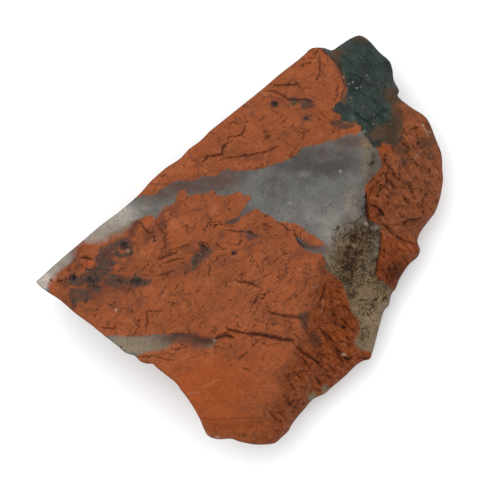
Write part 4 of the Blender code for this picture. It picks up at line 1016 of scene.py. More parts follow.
def fill_loop(loop, spots, chains, clearance):
    """(points, triangles) of a mesh inside the loop, with edges along the chains.

    The loop's own points come first, in their order.
    """
    points = list(loop)
    edges = []
    keep = inside_loop(spots, loop) & (distance_to_chain(spots, loop, closed=True) > clearance)
    for chain in chains:
        usable = inside_loop(chain, loop) & (distance_to_chain(chain, loop, closed=True) > clearance)
        for i, point in enumerate(chain):
            if usable[i]:
                edges += [(len(points) - 1, len(points))] if i and usable[i - 1] else []
                points.append(point)
    points += list(spots[keep])
    border = list(range(len(loop)))
    flat = [tuple(p) for p in points]
    made = geometry.delaunay_2d_cdt(flat, edges, [border], INSIDE_ONLY, SAME_POINT)
    return np.array([tuple(v) for v in made[0]]), np.array(made[2])


# Relief


def in_space(points, height=0.0):
    """Plan points, with their height in millimetres, as points in space in millimetres."""
    return np.column_stack([points * MM, np.broadcast_to(height, len(points))])


def noise_at(points, size, seed, octaves=OCTAVES):
    """Fractal noise of about -1 to 1 at each point, with lumps of the given size."""
    places = points / size + SEED_SHIFT * seed
    return np.array([noise.fractal(p, NOISE_DECAY, NOISE_REFINEMENT, octaves) for p in places.tolist()])


def noises_at(points, size, seeds, octaves=OCTAVES):
    """Two or more such noises side by side, as directions to move the points in."""
    return np.column_stack([noise_at(points, size, seed, octaves) for seed in seeds])


def bowls(points, sizes):
    """How deep the points lie in shallow bowls with sharp ridges between them."""
    depth = np.zeros(len(points))
    for seed, (size, deepest) in enumerate(sizes):
        places = points / size + SEED_SHIFT * seed
        near = np.array([noise.voronoi(place)[0][0] for place in places.tolist()])
        depth += deepest * (1 - np.minimum(BOWL_SHARPNESS * near**2, 1))
    return depth


def splinters(points, sizes):
    """How deep the points lie on small broken steps, each with a height and a slope of its own."""
    depth = np.zeros(len(points))
    of_height, of_slope, of_crevice = SPLINTER_SHARES
    for seed, (size, deepest) in enumerate(sizes):
        places = points / size + SEED_SHIFT * (seed + SEEDS["splinters"])
        for i, place in enumerate(places.tolist()):
            away, middles = noise.voronoi(place)
            middle = middles[0]
            height = 0.5 + 0.5 * noise.cell_vector(middle * SPLINTER_CELLS[0])[0]
            slope = noise.cell_vector(middle * SPLINTER_CELLS[1]).dot(Vector(place) - middle)
            crevice = max(0.0, 1 - (away[1] - away[0]) / SPLINTER_CREVICE)
            share = of_height * height + of_slope * slope + of_crevice * crevice
            depth[i] += deepest * min(max(share, 0.0), 1.0)
    return depth


def smoothstep(x, low, high):
    t = np.clip((x - low) / (high - low), 0, 1)
    return t * t * (3 - 2 * t)


def quarter_round(distance, width, depth):
    """How far a surface has dropped at a distance from an edge that is rounded to the width and depth."""
    share = 1 - np.minimum(distance / width, 1)
    return depth * (1 - np.sqrt(1 - share**2))


def line_normals(line):
    run = np.gradient(line, axis=0)
    return np.column_stack([-run[:, 1], run[:, 0]]) / np.linalg.norm(run, axis=1)[:, None]


def crack_line(half_width, chain):
    """(points, half widths) along a crack, which wanders, swells and thins out to its ends."""
    line = even_steps(chain, CRACK_STEP)
    space = in_space(line)
    to_end = np.minimum(np.arange(len(line)), np.arange(len(line))[::-1]) * CRACK_STEP
    wander = CRACK_WANDER * smoothstep(to_end, 0, CRACK_WANDER_END)
    wander = wander * noise_at(space, CRACK_WANDER_SIZE, SEEDS["crack wander"])
    usual, varying = CRACK_SWELLING
    end_width, taper = CRACK_TAPER
    width = half_width * (usual + varying * noise_at(space, CRACK_SWELLING_SIZE, SEEDS["crack width"]))
    width = width * (end_width + (1 - end_width) * smoothstep(to_end, 0, taper))
    return line + wander[:, None] * line_normals(line), np.maximum(width, THINNEST_CRACK)


def nearest_others(points, others):
    """(index, distance) of the nearest of the others, for each point."""
    tree = kdtree.KDTree(len(others))
    for i, (x, y) in enumerate(others):
        tree.insert((x, y, 0), i)
    tree.balance()
    found = [tree.find((x, y, 0))[1:] for x, y in points]
    return np.array([f[0] for f in found]), np.array([f[1] for f in found])


def crack_marks(points):
    """(how deep, how dark) the cracks and pits make each point of the top. The darkness is partly the
    cracks' filling and partly painted shade in crevices and pits.
    """
    lines = [crack_line(half_width, chain) for half_width, _, _, chain in CRACKS]
    counts = [len(line) for line, _ in lines]
    places = np.concatenate([line for line, _ in lines])
    widths = np.concatenate([width for _, width in lines])
    deepest = np.repeat([crack[1] for crack in CRACKS], counts)
    darkness = np.repeat([crack[2] for crack in CRACKS], counts)
    which, away = nearest_others(points, places)
    share = np.clip(1 - away / (CRACK_REACH * widths[which]), 0, 1)
    depth = deepest[which] * share
    dark = darkness[which] * share**CRACK_DARK_POWER
    unevenness, uneven_size = PIT_UNEVENNESS
    uneven = noises_at(in_space(points), uneven_size, SEEDS["pits"], FEW_OCTAVES)
    for x, y, radius, pit_depth in PITS:
        pushed = points + unevenness * radius * uneven
        away = np.hypot(pushed[:, 0] - x, pushed[:, 1] - y) / radius
        share = np.clip(PIT_REACH - away, 0, 1)
        depth = np.maximum(depth, pit_depth * smoothstep(share, *PIT_WALL))
        dark = np.maximum(dark, PIT_DARKNESS * smoothstep(share, *PIT_DARK_WALL))
    return depth, dark


def pale_marks(points):
    """How pale lint, scratches and light grains make each point of the top."""
    pale = np.zeros(len(points))
    for half_width, chain in PALE_LINES:
        share = np.clip(1 - distance_to_chain(points, chain) / (CRACK_REACH * half_width), 0, 1)
        pale = np.maximum(pale, PALE_LINE_STRENGTH * share)
    return np.maximum(pale, np.clip(soft_spots(points, PALE_GRAINS), 0, 1))


# Heights


def chains_to_cage(loops, chains, spots):
    """A search tree of the flat pieces between the chains and spots, whose third number is their height."""
    points, edges = [], []
    for chain, closed in [(c, True) for c in loops] + [(c, False) for c in chains]:
        first = len(points)
        points += chain
        edges += [(first + i, first + i + 1) for i in range(len(chain) - 1)]
        edges += [(len(points) - 1, first)] if closed else []
    points = np.array(points + spots, float)
    flat = [tuple(p[:2]) for p in points]
    places, _, faces, came_from, *_ = geometry.delaunay_2d_cdt(flat, edges, [], WHOLE_HULL, SAME_POINT)
    corners = []
    for place, sources in zip(places, came_from):
        nearest = np.argmin(np.linalg.norm(points[:, :2] - place, axis=1))
        corners.append((*place, points[sources[0] if sources else nearest, 2]))
    return bvhtree.BVHTree.FromPolygons(corners, faces)


def cage_height(points, cage):
    """The height of the cage at each plan point, 0 outside it."""
    hits = [cage.ray_cast((x, y, RAY_START), (0, 0, -1))[0] for x, y in points]
    return np.array([hit.z if hit else 0.0 for hit in hits])


def softened_cage(points, cage, radius):
    """The cage's height, averaged over a small hexagon, so that its creases are rounded."""
    corners = [np.zeros(2), *np.column_stack([np.cos(HEXAGON_TURNS), np.sin(HEXAGON_TURNS)])]
    reach = np.broadcast_to(radius, len(points))[:, None]
    return sum(cage_height(points + reach * corner, cage) for corner in corners) / len(corners)


TOP_CAGE = chains_to_cage([RIM_DROPS], list(CREASES.values()), SPOT_DROPS)
UNDERSIDE_CAGE = chains_to_cage(
    [UNDERSIDE_RIM, FLAT_SPOT], list(UNDERSIDE_CREASES.values()), UNDERSIDE_SPOTS
)
OUTLINE_CURVE = smooth_loop(OUTLINE, OUTLINE_CURVE_STEP)
SAWN_FACE = (
    OUTLINE[:OUTLINE.index(SKIN_STARTS) + 1]
    + [p[:2] for p in CREASES["red over green, lip"]]
    + [p[:2] for p in CREASES["edge of the sawn face"]]
    + OUTLINE[OUTLINE.index(SKIN_ENDS):]
)


def natural_skin(points):
    """0 on the sawn face, rising to 1 on the natural skin beyond its edge."""
    return smoothstep(distance_outside(points, SAWN_FACE), 0.0, SKIN_EDGE)


def along_grain(points):
    """Points in space, turned and squeezed so that what is made from them is stretched along the grain."""
    x, y, z = points.T
    along = x * np.cos(GRAIN_ANGLE) + y * np.sin(GRAIN_ANGLE)
    across = y * np.cos(GRAIN_ANGLE) - x * np.sin(GRAIN_ANGLE)
    return np.column_stack([along / GRAIN_STRETCH, across, z])


def fibres(space):
    """How deep the points lie in furrows that run along the grain."""
    size, deepest, stretch = FIBRES
    x, y, z = along_grain(space).T
    furrows = np.abs(noise_at(np.column_stack([x / stretch, y, z]), size, SEEDS["fibres"], FEW_OCTAVES))
    return deepest * (1 - smoothstep(furrows, 0, FIBRE_EDGE))


def top_surface(points):
    """(plan position and height in millimetres, skin share, hollowness) of the top."""
    skin = natural_skin(points)
    to_rim = distance_to_chain(points, OUTLINE_CURVE, closed=True)
    space = in_space(points)
    inner = smoothstep(to_rim, 0, FULL_WANDER)[:, None]
    moved = points + SKIN_WANDER * skin[:, None] * inner * noises_at(space, WANDER_SIZE, SEEDS["wander"])
    rough = 1 - (1 - SMOOTH_FACET_SHARE) * inside_loop(points, SMOOTH_FACET)
    grain = along_grain(space)
    large = rough * bowls(grain, SKIN_BOWLS)
    ragged = noises_at(space, RAGGED_SIZE, SEEDS["raggedness"])
    torn = grain + TORN * np.column_stack([ragged, np.zeros(len(ragged))])
    fine = bowls(grain, FINE_SKIN_BOWLS) + splinters(torn, SPLINTERS) + fibres(space)
    fine *= SMOOTH_FACET_FINE + (1 - SMOOTH_FACET_FINE) * rough
    waves = sum(depth * noise_at(space, size, SEEDS["sawn waves"]) for size, depth in SAWN_WAVES)
    turn_width, turn_depth = (sawn + (grown - sawn) * skin for sawn, grown in zip(SAWN_TURN, SKIN_TURN))
    rounding = quarter_round(to_rim * MM, turn_width, turn_depth)
    apart, reach, deepest = RIM_CHIPS
    chips = smoothstep(noise_at(space, apart, SEEDS["chips"]), *CHIP_LIMITS)
    chips = chips * (1 - smoothstep(to_rim * MM, 0, reach))
    softness = TOP_SOFTENING + soft_spots(points, SOFT_CREASES)
    drop = softened_cage(points + RAGGEDNESS * inner * ragged, TOP_CAGE, softness)
    drop += (1 - skin) * deepest * chips + skin * (large + fine) + waves + rounding
    height = MM_PER_M * THICKNESS - np.maximum(drop, 0) - crack_marks(moved)[0]
    return np.column_stack([moved, height]), skin, skin * fine / DEEPEST_FINE


def underside_surface(points):
    """Points of the underside, as plan position and height in millimetres."""
    away = distance_outside(points, FLAT_SPOT)
    space = in_space(points)
    relief = smoothstep(away, 0, FULL_BOWLS) * bowls(space, UNDERSIDE_BOWLS)
    relief += smoothstep(away, 0, FULL_FINE_BOWLS) * bowls(space, FINE_UNDERSIDE_BOWLS)
    size, depth = UNDERSIDE_WAVES
    relief += smoothstep(away, 0, FULL_WAVES) * depth * noise_at(space, size, SEEDS["underside waves"])
    to_foot = distance_to_chain(points, foot_loop(OUTLINE_CURVE), closed=True) * MM
    rounding = quarter_round(to_foot, FOOT_TURN_WIDTH, FOOT_TURN_DEPTH)
    height = softened_cage(points, UNDERSIDE_CAGE, UNDERSIDE_SOFTENING) + relief + rounding
    return np.column_stack([points, np.maximum(height, 0)])


def at_bearing(points, table):
    """The table's value at each point's bearing from the centre."""
    bearing = np.degrees(np.arctan2(CENTRE[1] - points[:, 1], points[:, 0] - CENTRE[0]))
    return np.interp(bearing, *np.transpose(table))


def foot_loop(rim):
    """The border of the underside: the rim without its small notches, drawn in towards the centre."""
    reach = round(NOTCH_REACH / MM / np.linalg.norm(rim[1] - rim[0]))
    even = sum(np.roll(rim, shift, axis=0) for shift in range(-reach, reach + 1)) / (2 * reach + 1)
    return CENTRE + (even - CENTRE) * (1 - at_bearing(rim, FOOT_INSETS))[:, None]


def side_rings(rim, foot, rows):
    """Rings of points from just below the rim to just above the foot, in plan units and millimetres."""
    relief = at_bearing(rim, SIDE_RELIEF) / MM
    outward = (rim - CENTRE) / np.linalg.norm(rim - CENTRE, axis=1)[:, None]
    top = top_surface(rim)[0][:, 2]
    bottom = underside_surface(foot)[:, 2]
    even, late, lateness = SIDE_BOW
    made = []
    for t in np.arange(1, rows) / rows:
        bow = even * smoothstep(t, 0, 1) + late * t**lateness
        ring = rim + (foot - rim) * bow
        height = top + (bottom - top) * t
        depth = bowls(in_space(ring, height), SIDE_BOWLS + FINE_SIDE_BOWLS) * np.sin(np.pi * t) ** SIDE_FADE
        made.append(np.column_stack([ring - outward * (relief * depth)[:, None], height]))
    return made


# The stone's mesh


def crack_chains():
    """The cracks' middle lines, in short steps."""
    lines = [crack_line(half_width, chain)[0] for half_width, _, _, chain in CRACKS]
    return [even_steps(line, CRACK_MESH_STEP) for line in lines]


def mark_spots():
    """Points beside the cracks and pale lines and round the pits and grains, which the mesh needs there."""
    spots = []
    for half_width, line in [(c[0], chain) for c, chain in zip(CRACKS, crack_chains())] + PALE_LINES:
        line = even_steps(line, CRACK_MESH_STEP)
        across = line_normals(line)
        spots += [line + share * half_width * across for share in BESIDE_SHARES]
    spots += [even_steps(chain, PALE_MESH_STEP) for _, chain in PALE_LINES]
    ring = np.column_stack([np.cos(RING_TURNS), np.sin(RING_TURNS)])
    for x, y, width, height in [(x, y, r, r) for x, y, r, _ in PITS] + [grain[:-1] for grain in PALE_GRAINS]:
        spots.append(np.array([(x, y)], float))
        spots += [(x, y) + share * ring * (width, height) for share in RING_SHARES]
    return np.concatenate(spots)


def top_mesh(rim):
    """(points, triangles) of the top, finer on the natural skin than on the sawn face."""
    fine, coarse = SKIN_STEP / PLAN_UNIT, SAWN_STEP / PLAN_UNIT
    skin_spots = scatter(rim, fine, SKIN_GRID)
    sawn_spots = scatter(rim, coarse, SAWN_GRID)
    on_skin = ~inside_loop(skin_spots, SAWN_FACE)
    on_sawn = inside_loop(sawn_spots, SAWN_FACE)
    spots = np.concatenate([skin_spots[on_skin], sawn_spots[on_sawn]])
    marks = mark_spots()
    _, near = nearest_others(spots, marks)
    spots = np.concatenate([spots[near > CLEARANCE * fine], marks])
    return fill_loop(rim, spots, crack_chains(), CLEARANCE * fine)


def stone_mesh():
    """Everything about the stone's mesh, in plan units and millimetres."""
    rim = smooth_loop(OUTLINE, RIM_STEP / PLAN_UNIT)
    foot = foot_loop(rim)
    count = len(rim)
    top_points, top_faces = top_mesh(rim)
    step = UNDERSIDE_STEP / PLAN_UNIT
    under_points, under_faces = fill_loop(foot, scatter(foot, step, UNDERSIDE_GRID), [], CLEARANCE * step)
    top, skin, hollow = top_surface(top_points)
    rings = side_rings(rim, foot, SIDE_ROWS)
    under = underside_surface(under_points)
    side_depth = np.concatenate([(top[:count, 2] - ring[:, 2]) / MM for ring in rings])
    under_top = MM_PER_M * THICKNESS - cage_height(under_points, TOP_CAGE)
    depth = np.concatenate([np.zeros(len(top)), side_depth, (under_top - under[:, 2]) / MM])
    others = len(depth) - len(skin)
    skin = np.concatenate([skin, np.ones(others)])
    hollow = np.concatenate([hollow, np.full(others, SIDE_HOLLOWNESS)])
    vertices = np.concatenate([top, *rings, under])
    first_ring = len(top)
    first_under = first_ring + len(rings) * count
    starts = [0, *range(first_ring, first_under, count), first_under]
    # The plan's y runs down, so its triangles face the ground until they are turned over.
    around = np.arange(count)
    after = np.roll(around, -1)
    sides = []
    for upper, lower in zip(starts, starts[1:]):
        sides.append(np.column_stack([upper + around, lower + after, lower + around]))
        sides.append(np.column_stack([upper + around, upper + after, lower + after]))
    faces = [top_faces[:, ::-1], *sides, under_faces + first_under]
    return vertices, faces, depth, skin, hollow, count


def to_stone_frame(vertices):
    """Plan vertices in metres, with the long edge along X and the box's middle over the origin."""

    def turned(plan):
        x, y = plan[:, 0] * PLAN_UNIT, -plan[:, 1] * PLAN_UNIT
        cos, sin = np.cos(LONG_EDGE_ANGLE), np.sin(LONG_EDGE_ANGLE)
        return np.column_stack([x * cos + y * sin, -x * sin + y * cos])

    outline = turned(OUTLINE_CURVE)
    middle = (outline.min(axis=0) + outline.max(axis=0)) / 2
    return np.column_stack([turned(vertices[:, :2]) - middle, vertices[:, 2] / MM_PER_M])


# What each point is made of, and where light and shade are painted on it


def composition(plan, depth, skin, hollow):
    """The values that the material reads, at each point of the plan and its depth below the top.

    Distances are in millimetres, above 0 inside the marked part. The rest are shares or amounts.
    """
    space = in_space(plan, depth * MM)
    size, reach, full_depth = VEIN_WANDER
    shift = smoothstep(depth, 0, full_depth)[:, None] * reach * noises_at(space, size, SEEDS["vein"])
    at = plan + depth[:, None] * VEIN_DIP + shift
    on_top = depth == 0
    beyond = distance_outside(plan, SAWN_FACE)
    reach, size, full = RIND_RAGGEDNESS
    ragged = reach * noise_at(space, size, SEEDS["rind"]) * smoothstep(beyond, 0, full)
    rind = np.where(on_top, smoothstep(beyond + ragged, RIND_START, RIND_EDGE), 1)
    dark = np.zeros(len(plan))
    pale = np.zeros(len(plan))
    dark[on_top] = crack_marks(plan[on_top])[1]
    pale[on_top] = pale_marks(plan[on_top])
    values = {
        "vein": depth_inside(at, [UPPER_VEIN, LOWER_WEDGE, *GREY_BITS]),
        "green": depth_inside(at, [GREEN_BAND]),
        "dark_patch": np.where(on_top, depth_inside(at, DARK_PATCHES), NO_PATCH),
        "pebble": depth_inside(at, RED_PEBBLES),
        "rim": distance_to_chain(plan, OUTLINE_CURVE, closed=True) * MM,
        "skin": skin,
        "rind": np.clip(rind - soft_spots(plan, BARE_SPOTS) * on_top, 0, 1),
        "hollow": hollow,
        # the cracks' filling, and painted shade in crevices and pits
        "crack": dark,
        "pale": pale,
        # milkiness, and painted light through the thin edge
        "milky_and_edge_lit": soft_spots(at, MILKY_AND_EDGE_LIT_SPOTS),
        # the stone's own tone, and painted light and shade
        "tone_and_painted_light": soft_spots(at, TONE_AND_PAINTED_LIGHT_SPOTS),
    }
    for name, spots in SHARE_SPOTS.items():
        values[name] = np.clip(soft_spots(at, spots), 0, 1)
    return values


class Recipe:
    """A material's nodes, added one at a time. Sockets and plain values go in the same way."""

    def __init__(self, name):
        self.material = bpy.data.materials.new(name)
        self.material.use_nodes = True
        self.tree = self.material.node_tree
        self.shader = self.tree.nodes["Principled BSDF"]
        self.place = self.tree.nodes.new("ShaderNodeTexCoord").outputs["Object"]

    def feed(self, socket, value):
        if isinstance(value, bpy.types.NodeSocket):
            self.tree.links.new(value, socket)
        else:
            socket.default_value = value

    def value(self, name):
        """A value kept on the mesh."""
        node = self.tree.nodes.new("ShaderNodeAttribute")
        node.attribute_name = name
        return node.outputs["Fac"]

    def math(self, operation, *inputs):
        node = self.tree.nodes.new("ShaderNodeMath")
        node.operation = operation
        for socket, value in zip(node.inputs, inputs):
            self.feed(socket, value)
        return node.outputs[0]

    def times(self, a, b):
        return self.math("MULTIPLY", a, b)

    def plus(self, a, b):
        return self.math("ADD", a, b)

    def rise(self, name, value):
        """From 0 to 1 between the named limits; it falls where the second limit is the lower one."""
        node = self.tree.nodes.new("ShaderNodeMapRange")
        node.interpolation_type = "SMOOTHSTEP"
        self.feed(node.inputs["Value"], value)
        node.inputs["From Min"].default_value, node.inputs["From Max"].default_value = LIMITS[name]
        return node.outputs["Result"]

    def stretched(self, angle, stretch):
        """The place, turned on the plan and squeezed, so that patterns are stretched along the angle."""
        node = self.tree.nodes.new("ShaderNodeMapping")
        self.feed(node.inputs["Vector"], self.place)
        node.vector_type = "TEXTURE"
        node.inputs["Rotation"].default_value = (0, 0, angle)
        node.inputs["Scale"].default_value = (stretch, 1, 1)
        return node.outputs["Vector"]

    def noise(self, name):
        """The named noise, of about 0.5."""
        node = self.tree.nodes.new("ShaderNodeTexNoise")
        place = self.stretched(*STRETCHES[name]) if name in STRETCHES else self.place
        self.feed(node.inputs["Vector"], place)
        size, detail, roughness, distortion = NOISES[name]
        node.inputs["Scale"].default_value = MM_PER_M / size
        node.inputs["Detail"].default_value = detail
        node.inputs["Roughness"].default_value = roughness
        node.inputs["Distortion"].default_value = distortion
        return node.outputs["Fac"]

    def shown(self, name):
        """Where the named noise is past its limits."""
        return self.rise(name, self.noise(name))

    def threads(self, name):
        """Thin lines, where the named noise is about 0.5."""
        return self.rise(name, self.math("ABSOLUTE", self.math("SUBTRACT", self.noise(name), 0.5)))

    def cells(self, name, place=None):
        """Where the named cells' middles or edges are near."""
        node = self.tree.nodes.new("ShaderNodeTexVoronoi")
        size, node.feature = CELLS[name]
        self.feed(node.inputs["Vector"], place or self.place)
        node.inputs["Scale"].default_value = MM_PER_M / size
        return self.rise(name, node.outputs["Distance"])

    def warped(self, size, amount):
        """The place, pushed about by noise of the given size, by up to the amount; both in millimetres."""
        node = self.tree.nodes.new("ShaderNodeTexNoise")
        self.feed(node.inputs["Vector"], self.place)
        node.inputs["Scale"].default_value = MM_PER_M / size
        push = self.tree.nodes.new("ShaderNodeVectorMath")
        push.operation = "MULTIPLY_ADD"
        self.feed(push.inputs[0], node.outputs["Color"])
        push.inputs[1].default_value = (amount / MM_PER_M,) * 3
        self.feed(push.inputs[2], self.place)
        return push.outputs[0]

    def swing(self, name, value):
        """A value of about 0.5, as a number swinging round 0 by the named amount."""
        return self.times(self.math("SUBTRACT", value, 0.5), SWINGS[name])

    def mix(self, kind, a, b, share):
        node = self.tree.nodes.new("ShaderNodeMix")
        node.data_type = kind
        first, second, result = MIX_SOCKETS[kind]
        self.feed(node.inputs[0], share)
        self.feed(node.inputs[first], a)
        self.feed(node.inputs[second], b)
        return node.outputs[result]

    def coat(self, under, name, share):
        """The colour under the named coat of paint."""
        colour, strength = COATS[name]
        return self.mix("RGBA", under, paint(colour), self.times(share, strength))

    def between(self, name, share):
        """The first number of the named pair where the share is 0 and the second where it is 1."""
        return self.mix("FLOAT", *PAIRS[name], share)

    def shade(self, colour, lightness):
        """The colour, made lighter or darker."""
        node = self.tree.nodes.new("ShaderNodeVectorMath")
        node.operation = "SCALE"
        self.feed(node.inputs[0], colour)
        self.feed(node.inputs["Scale"], lightness)
        return node.outputs[0]


def paint(name):
    """The surface colour that comes out as the named colour in the scene's light."""
    shown = np.array(COLOURS[name]) / COLOUR_STEPS
    curved = ((shown + SCREEN_OFFSET) / (1 + SCREEN_OFFSET)) ** SCREEN_POWER
    light = np.where(shown <= SCREEN_DARK, shown / SCREEN_DARK_SLOPE, curved)
    return (*np.maximum(light - SHEEN, DARKEST_PAINT) / DAYLIGHT, 1.0)


def red_jasper(r, mottle, wander):
    """The red's colour: clay-like, with smoky seams, flecks, specks, dark patches and darker rind."""
    glowing = r.value("glowing")
    red = r.coat(paint("red, brown"), "orange", r.shown("orange"))
    red = r.coat(red, "light", r.rise("light", mottle))
    red = r.coat(red, "glowing", glowing)
    red = r.coat(red, "smoke", r.times(r.shown("smoke"), r.between("smoke", r.value("smoky"))))
    # Clay-like islands with smoky seams between them
    seams = r.times(r.cells("seams", r.warped(*SEAM_WARP)), r.shown("seam places"))
    red = r.coat(red, "smoke", r.times(seams, r.between("seams", glowing)))
    worn = r.between("worn", r.rise("worn", glowing))
    flecks = r.times(r.shown("flecks"), r.times(r.between("flecks", r.value("flecked")), worn))
    red = r.coat(red, "flecks", flecks)
    specks = r.times(r.cells("specks"), r.shown("speck places"))
    red = r.coat(red, "specks", r.times(specks, worn))
    red = r.coat(red, "pebble", r.rise("pebble", r.plus(r.value("pebble"), r.times(wander, PEBBLE_WANDER))))
    red = r.mix("RGBA", red, rind(r), r.value("rind"))
    beside_green = r.times(r.rise("beside green", r.value("green")), r.value("rusty"))
    red = r.coat(red, "beside green", beside_green)
    ragged = r.swing("patch border", r.noise("patch border"))
    patch = r.rise("patch border", r.plus(r.value("dark_patch"), ragged))
    smoky = r.coat(paint("dark patch"), "greenish", r.shown("greenish"))
    smoky = r.coat(smoky, "patch threads", r.threads("patch threads"))
    patch = r.times(patch, r.between("patch on the skin", r.value("skin")))
    red = r.mix("RGBA", red, smoky, r.times(patch, r.between("patch islands", r.shown("patch islands"))))
    blackest = r.value("blue_black")
    ink = r.rise("ink", r.plus(blackest, r.swing("ink", r.noise("ink"))))
    return r.coat(red, "ink", r.times(ink, r.rise("ink places", blackest)))


def rind(r):
    """The weathered skin's colour: brown, in fine light and dark fibres, and dusty here and there, with
    painted shade in its deepest hollows.
    """
    fibres = r.noise("rind fibres")
    dusty = r.value("dusty")
    plain = r.mix("RGBA", paint("rind"), paint("rind, dusty"), dusty)
    colour = r.mix("RGBA", paint("rind, dark, and hollow shade"), plain, r.rise("rind fibres", fibres))
    light = r.times(r.rise("light fibres", fibres), r.between("light fibres", dusty))
    colour = r.coat(colour, "light fibres", light)
    # Painted shade: darker where the fine relief of the skin is deepest
    painted_hollow_shade = r.times(r.rise("painted_hollow_shade", r.value("hollow")), r.between("painted_hollow_shade", dusty))
    return r.coat(colour, "painted_hollow_shade", painted_hollow_shade)


def chalcedony(r, mottle):
    """The grey veins' colour: cloudy and milky, with painted light where light comes through the thin edge,
    and yellowish with black dendrites at the right.
    """
    milky_and_edge_lit = r.value("milky_and_edge_lit")
    cloudy = r.plus(r.swing("vein clouds", r.noise("vein clouds")), r.swing("vein mottle", mottle))
    cloudy = r.times(cloudy, r.between("vein clouds", r.rise("milkiest_and_most_edge_lit", milky_and_edge_lit)))
    milk_and_edge_light = r.plus(milky_and_edge_lit, cloudy)
    clear = r.coat(paint("chalcedony, dark"), "grey", r.rise("grey", milk_and_edge_light))
    clear = r.coat(clear, "milk_and_edge_light", r.rise("milk_and_edge_light", milk_and_edge_light))
    for name in ("warm", "purple", "rusty"):
        clear = r.coat(clear, name, r.value(name))
    dusk = r.plus(r.value("dusky"), r.swing("dusk", r.noise("dusk")))
    clear = r.coat(clear, "dusk", r.rise("dusk", dusk))
    # Black and brown dendrites, thick where the vein is most speckled, with pale fibres between them
    speckled = r.value("speckled")
    thick = r.plus(r.noise("dendrite places"), r.swing("dendrite places", speckled))
    where = r.times(r.rise("dendrite places", thick), r.rise("dendrites, speckled", speckled))
    dendrites = r.times(r.threads("dendrites"), where)
    density = r.plus(r.noise("moss"), r.times(r.value("dusky"), MOSS_IN_THE_DUSK))
    density = r.plus(density, r.swing("moss places", r.noise("moss places")))
    moss = r.times(r.rise("moss", density), r.rise("moss, speckled", speckled))
    clear = r.coat(clear, "rusty moss", r.times(r.shown("rusty moss"), speckled))
    clear = r.coat(clear, "pale fibres", r.times(r.threads("pale fibres"), speckled))
    return r.coat(clear, "dendrites", r.math("MAXIMUM", dendrites, moss))


def green_rock(r, cloud):
    """The green band's colour: dark teal with striations, rusty where it meets the red."""
    striations = r.noise("striations")
    share = r.rise("green, light", r.plus(r.swing("green, light", striations), cloud))
    green = r.coat(paint("green, dark"), "green, light", share)
    rust = r.plus(r.value("rusty"), r.swing("green, rusty", striations))
    green = r.coat(green, "green, rusty", r.rise("green, rusty", rust))
    return r.coat(green, "pinholes", r.times(r.cells("pinholes"), r.shown("pinhole places")))


def inside(r, name, wander, softness, border):
    """1 inside the outline whose distance is the named value, and 0 outside it."""
    sharp, soft = border
    fade = r.plus(r.times(softness, soft), sharp)
    node = r.tree.nodes.new("ShaderNodeMapRange")
    node.interpolation_type = "SMOOTHSTEP"
    given = (r.plus(r.value(name), wander), r.times(fade, -1.0), fade)
    for socket, value in zip(("Value", "From Min", "From Max"), given):
        r.feed(node.inputs[socket], value)
    return node.outputs["Result"]


def stone_material():
    r = Recipe("red_jasper_and_chalcedony")
    cloud, mottle, grain, dust = (r.noise(name) for name in ("cloud", "mottle", "grain", "dust"))
    wander = r.swing("borders", r.noise("borders"))
    soft = r.value("soft_edge")
    ragged = r.times(wander, r.plus(r.plus(soft, r.value("speckled")), 1.0))
    vein = inside(r, "vein", ragged, soft, VEIN_BORDER)
    band = inside(r, "green", r.times(wander, GREEN_WANDER), r.value("fuzzy"), GREEN_BORDER)
    colour = r.mix("RGBA", red_jasper(r, mottle, wander), chalcedony(r, mottle), vein)
    colour = r.mix("RGBA", colour, green_rock(r, cloud), band)

    # Hair cracks, which are broken contour lines of stretched noise
    smooth = r.math("MAXIMUM", r.math("MAXIMUM", vein, band), r.rise("worn", r.value("glowing")))
    hair = r.times(r.times(r.threads("hair"), r.shown("hair places")), r.between("hair", smooth))
    # Dark filling of cracks and painted shade in crevices and pits, together with the hair cracks
    crack = r.math("MAXIMUM", r.value("crack"), hair)
    colour = r.coat(colour, "crack", crack)
    colour = r.coat(colour, "pale mark", r.value("pale"))
    # Painted light and shade together with the stone's own tone, then tone that differs at random
    lightness = r.plus(r.value("tone_and_painted_light"), 1.0)
    for name, pattern in (("cloud", cloud), ("mottle", mottle), ("grain", grain), ("dust", dust)):
        lightness = r.plus(lightness, r.swing(name, pattern))
    # Painted shade along the outline
    lightness = r.plus(lightness, r.times(r.rise("rim", r.value("rim")), -RIM_PAINTED_SHADE))
    r.feed(r.shader.inputs["Base Color"], r.shade(colour, lightness))

    skin = r.value("skin")
    roughness = r.mix("FLOAT", r.between("roughness", vein), GREEN_ROUGHNESS, band)
    roughness = r.mix("FLOAT", roughness, SKIN_ROUGHNESS, r.times(skin, SKIN_ROUGHNESS_SHARE))
    r.feed(r.shader.inputs["Roughness"], r.plus(roughness, r.swing("roughness", grain)))
    r.shader.inputs["Specular IOR Level"].default_value = GLOSS

    bump = r.tree.nodes.new("ShaderNodeBump")
    bump.inputs["Strength"].default_value = 1.0
    bump.inputs["Distance"].default_value = GRAIN_DEPTH
    coarse = r.mix("FLOAT", r.between("coarseness", vein), SKIN_COARSENESS, skin)
    fine = r.plus(grain, r.times(dust, DUST_HEIGHT))
    r.feed(bump.inputs["Height"], r.plus(r.times(fine, coarse), r.times(crack, -1.0)))
    r.feed(r.shader.inputs["Normal"], bump.outputs["Normal"])
    return r.material


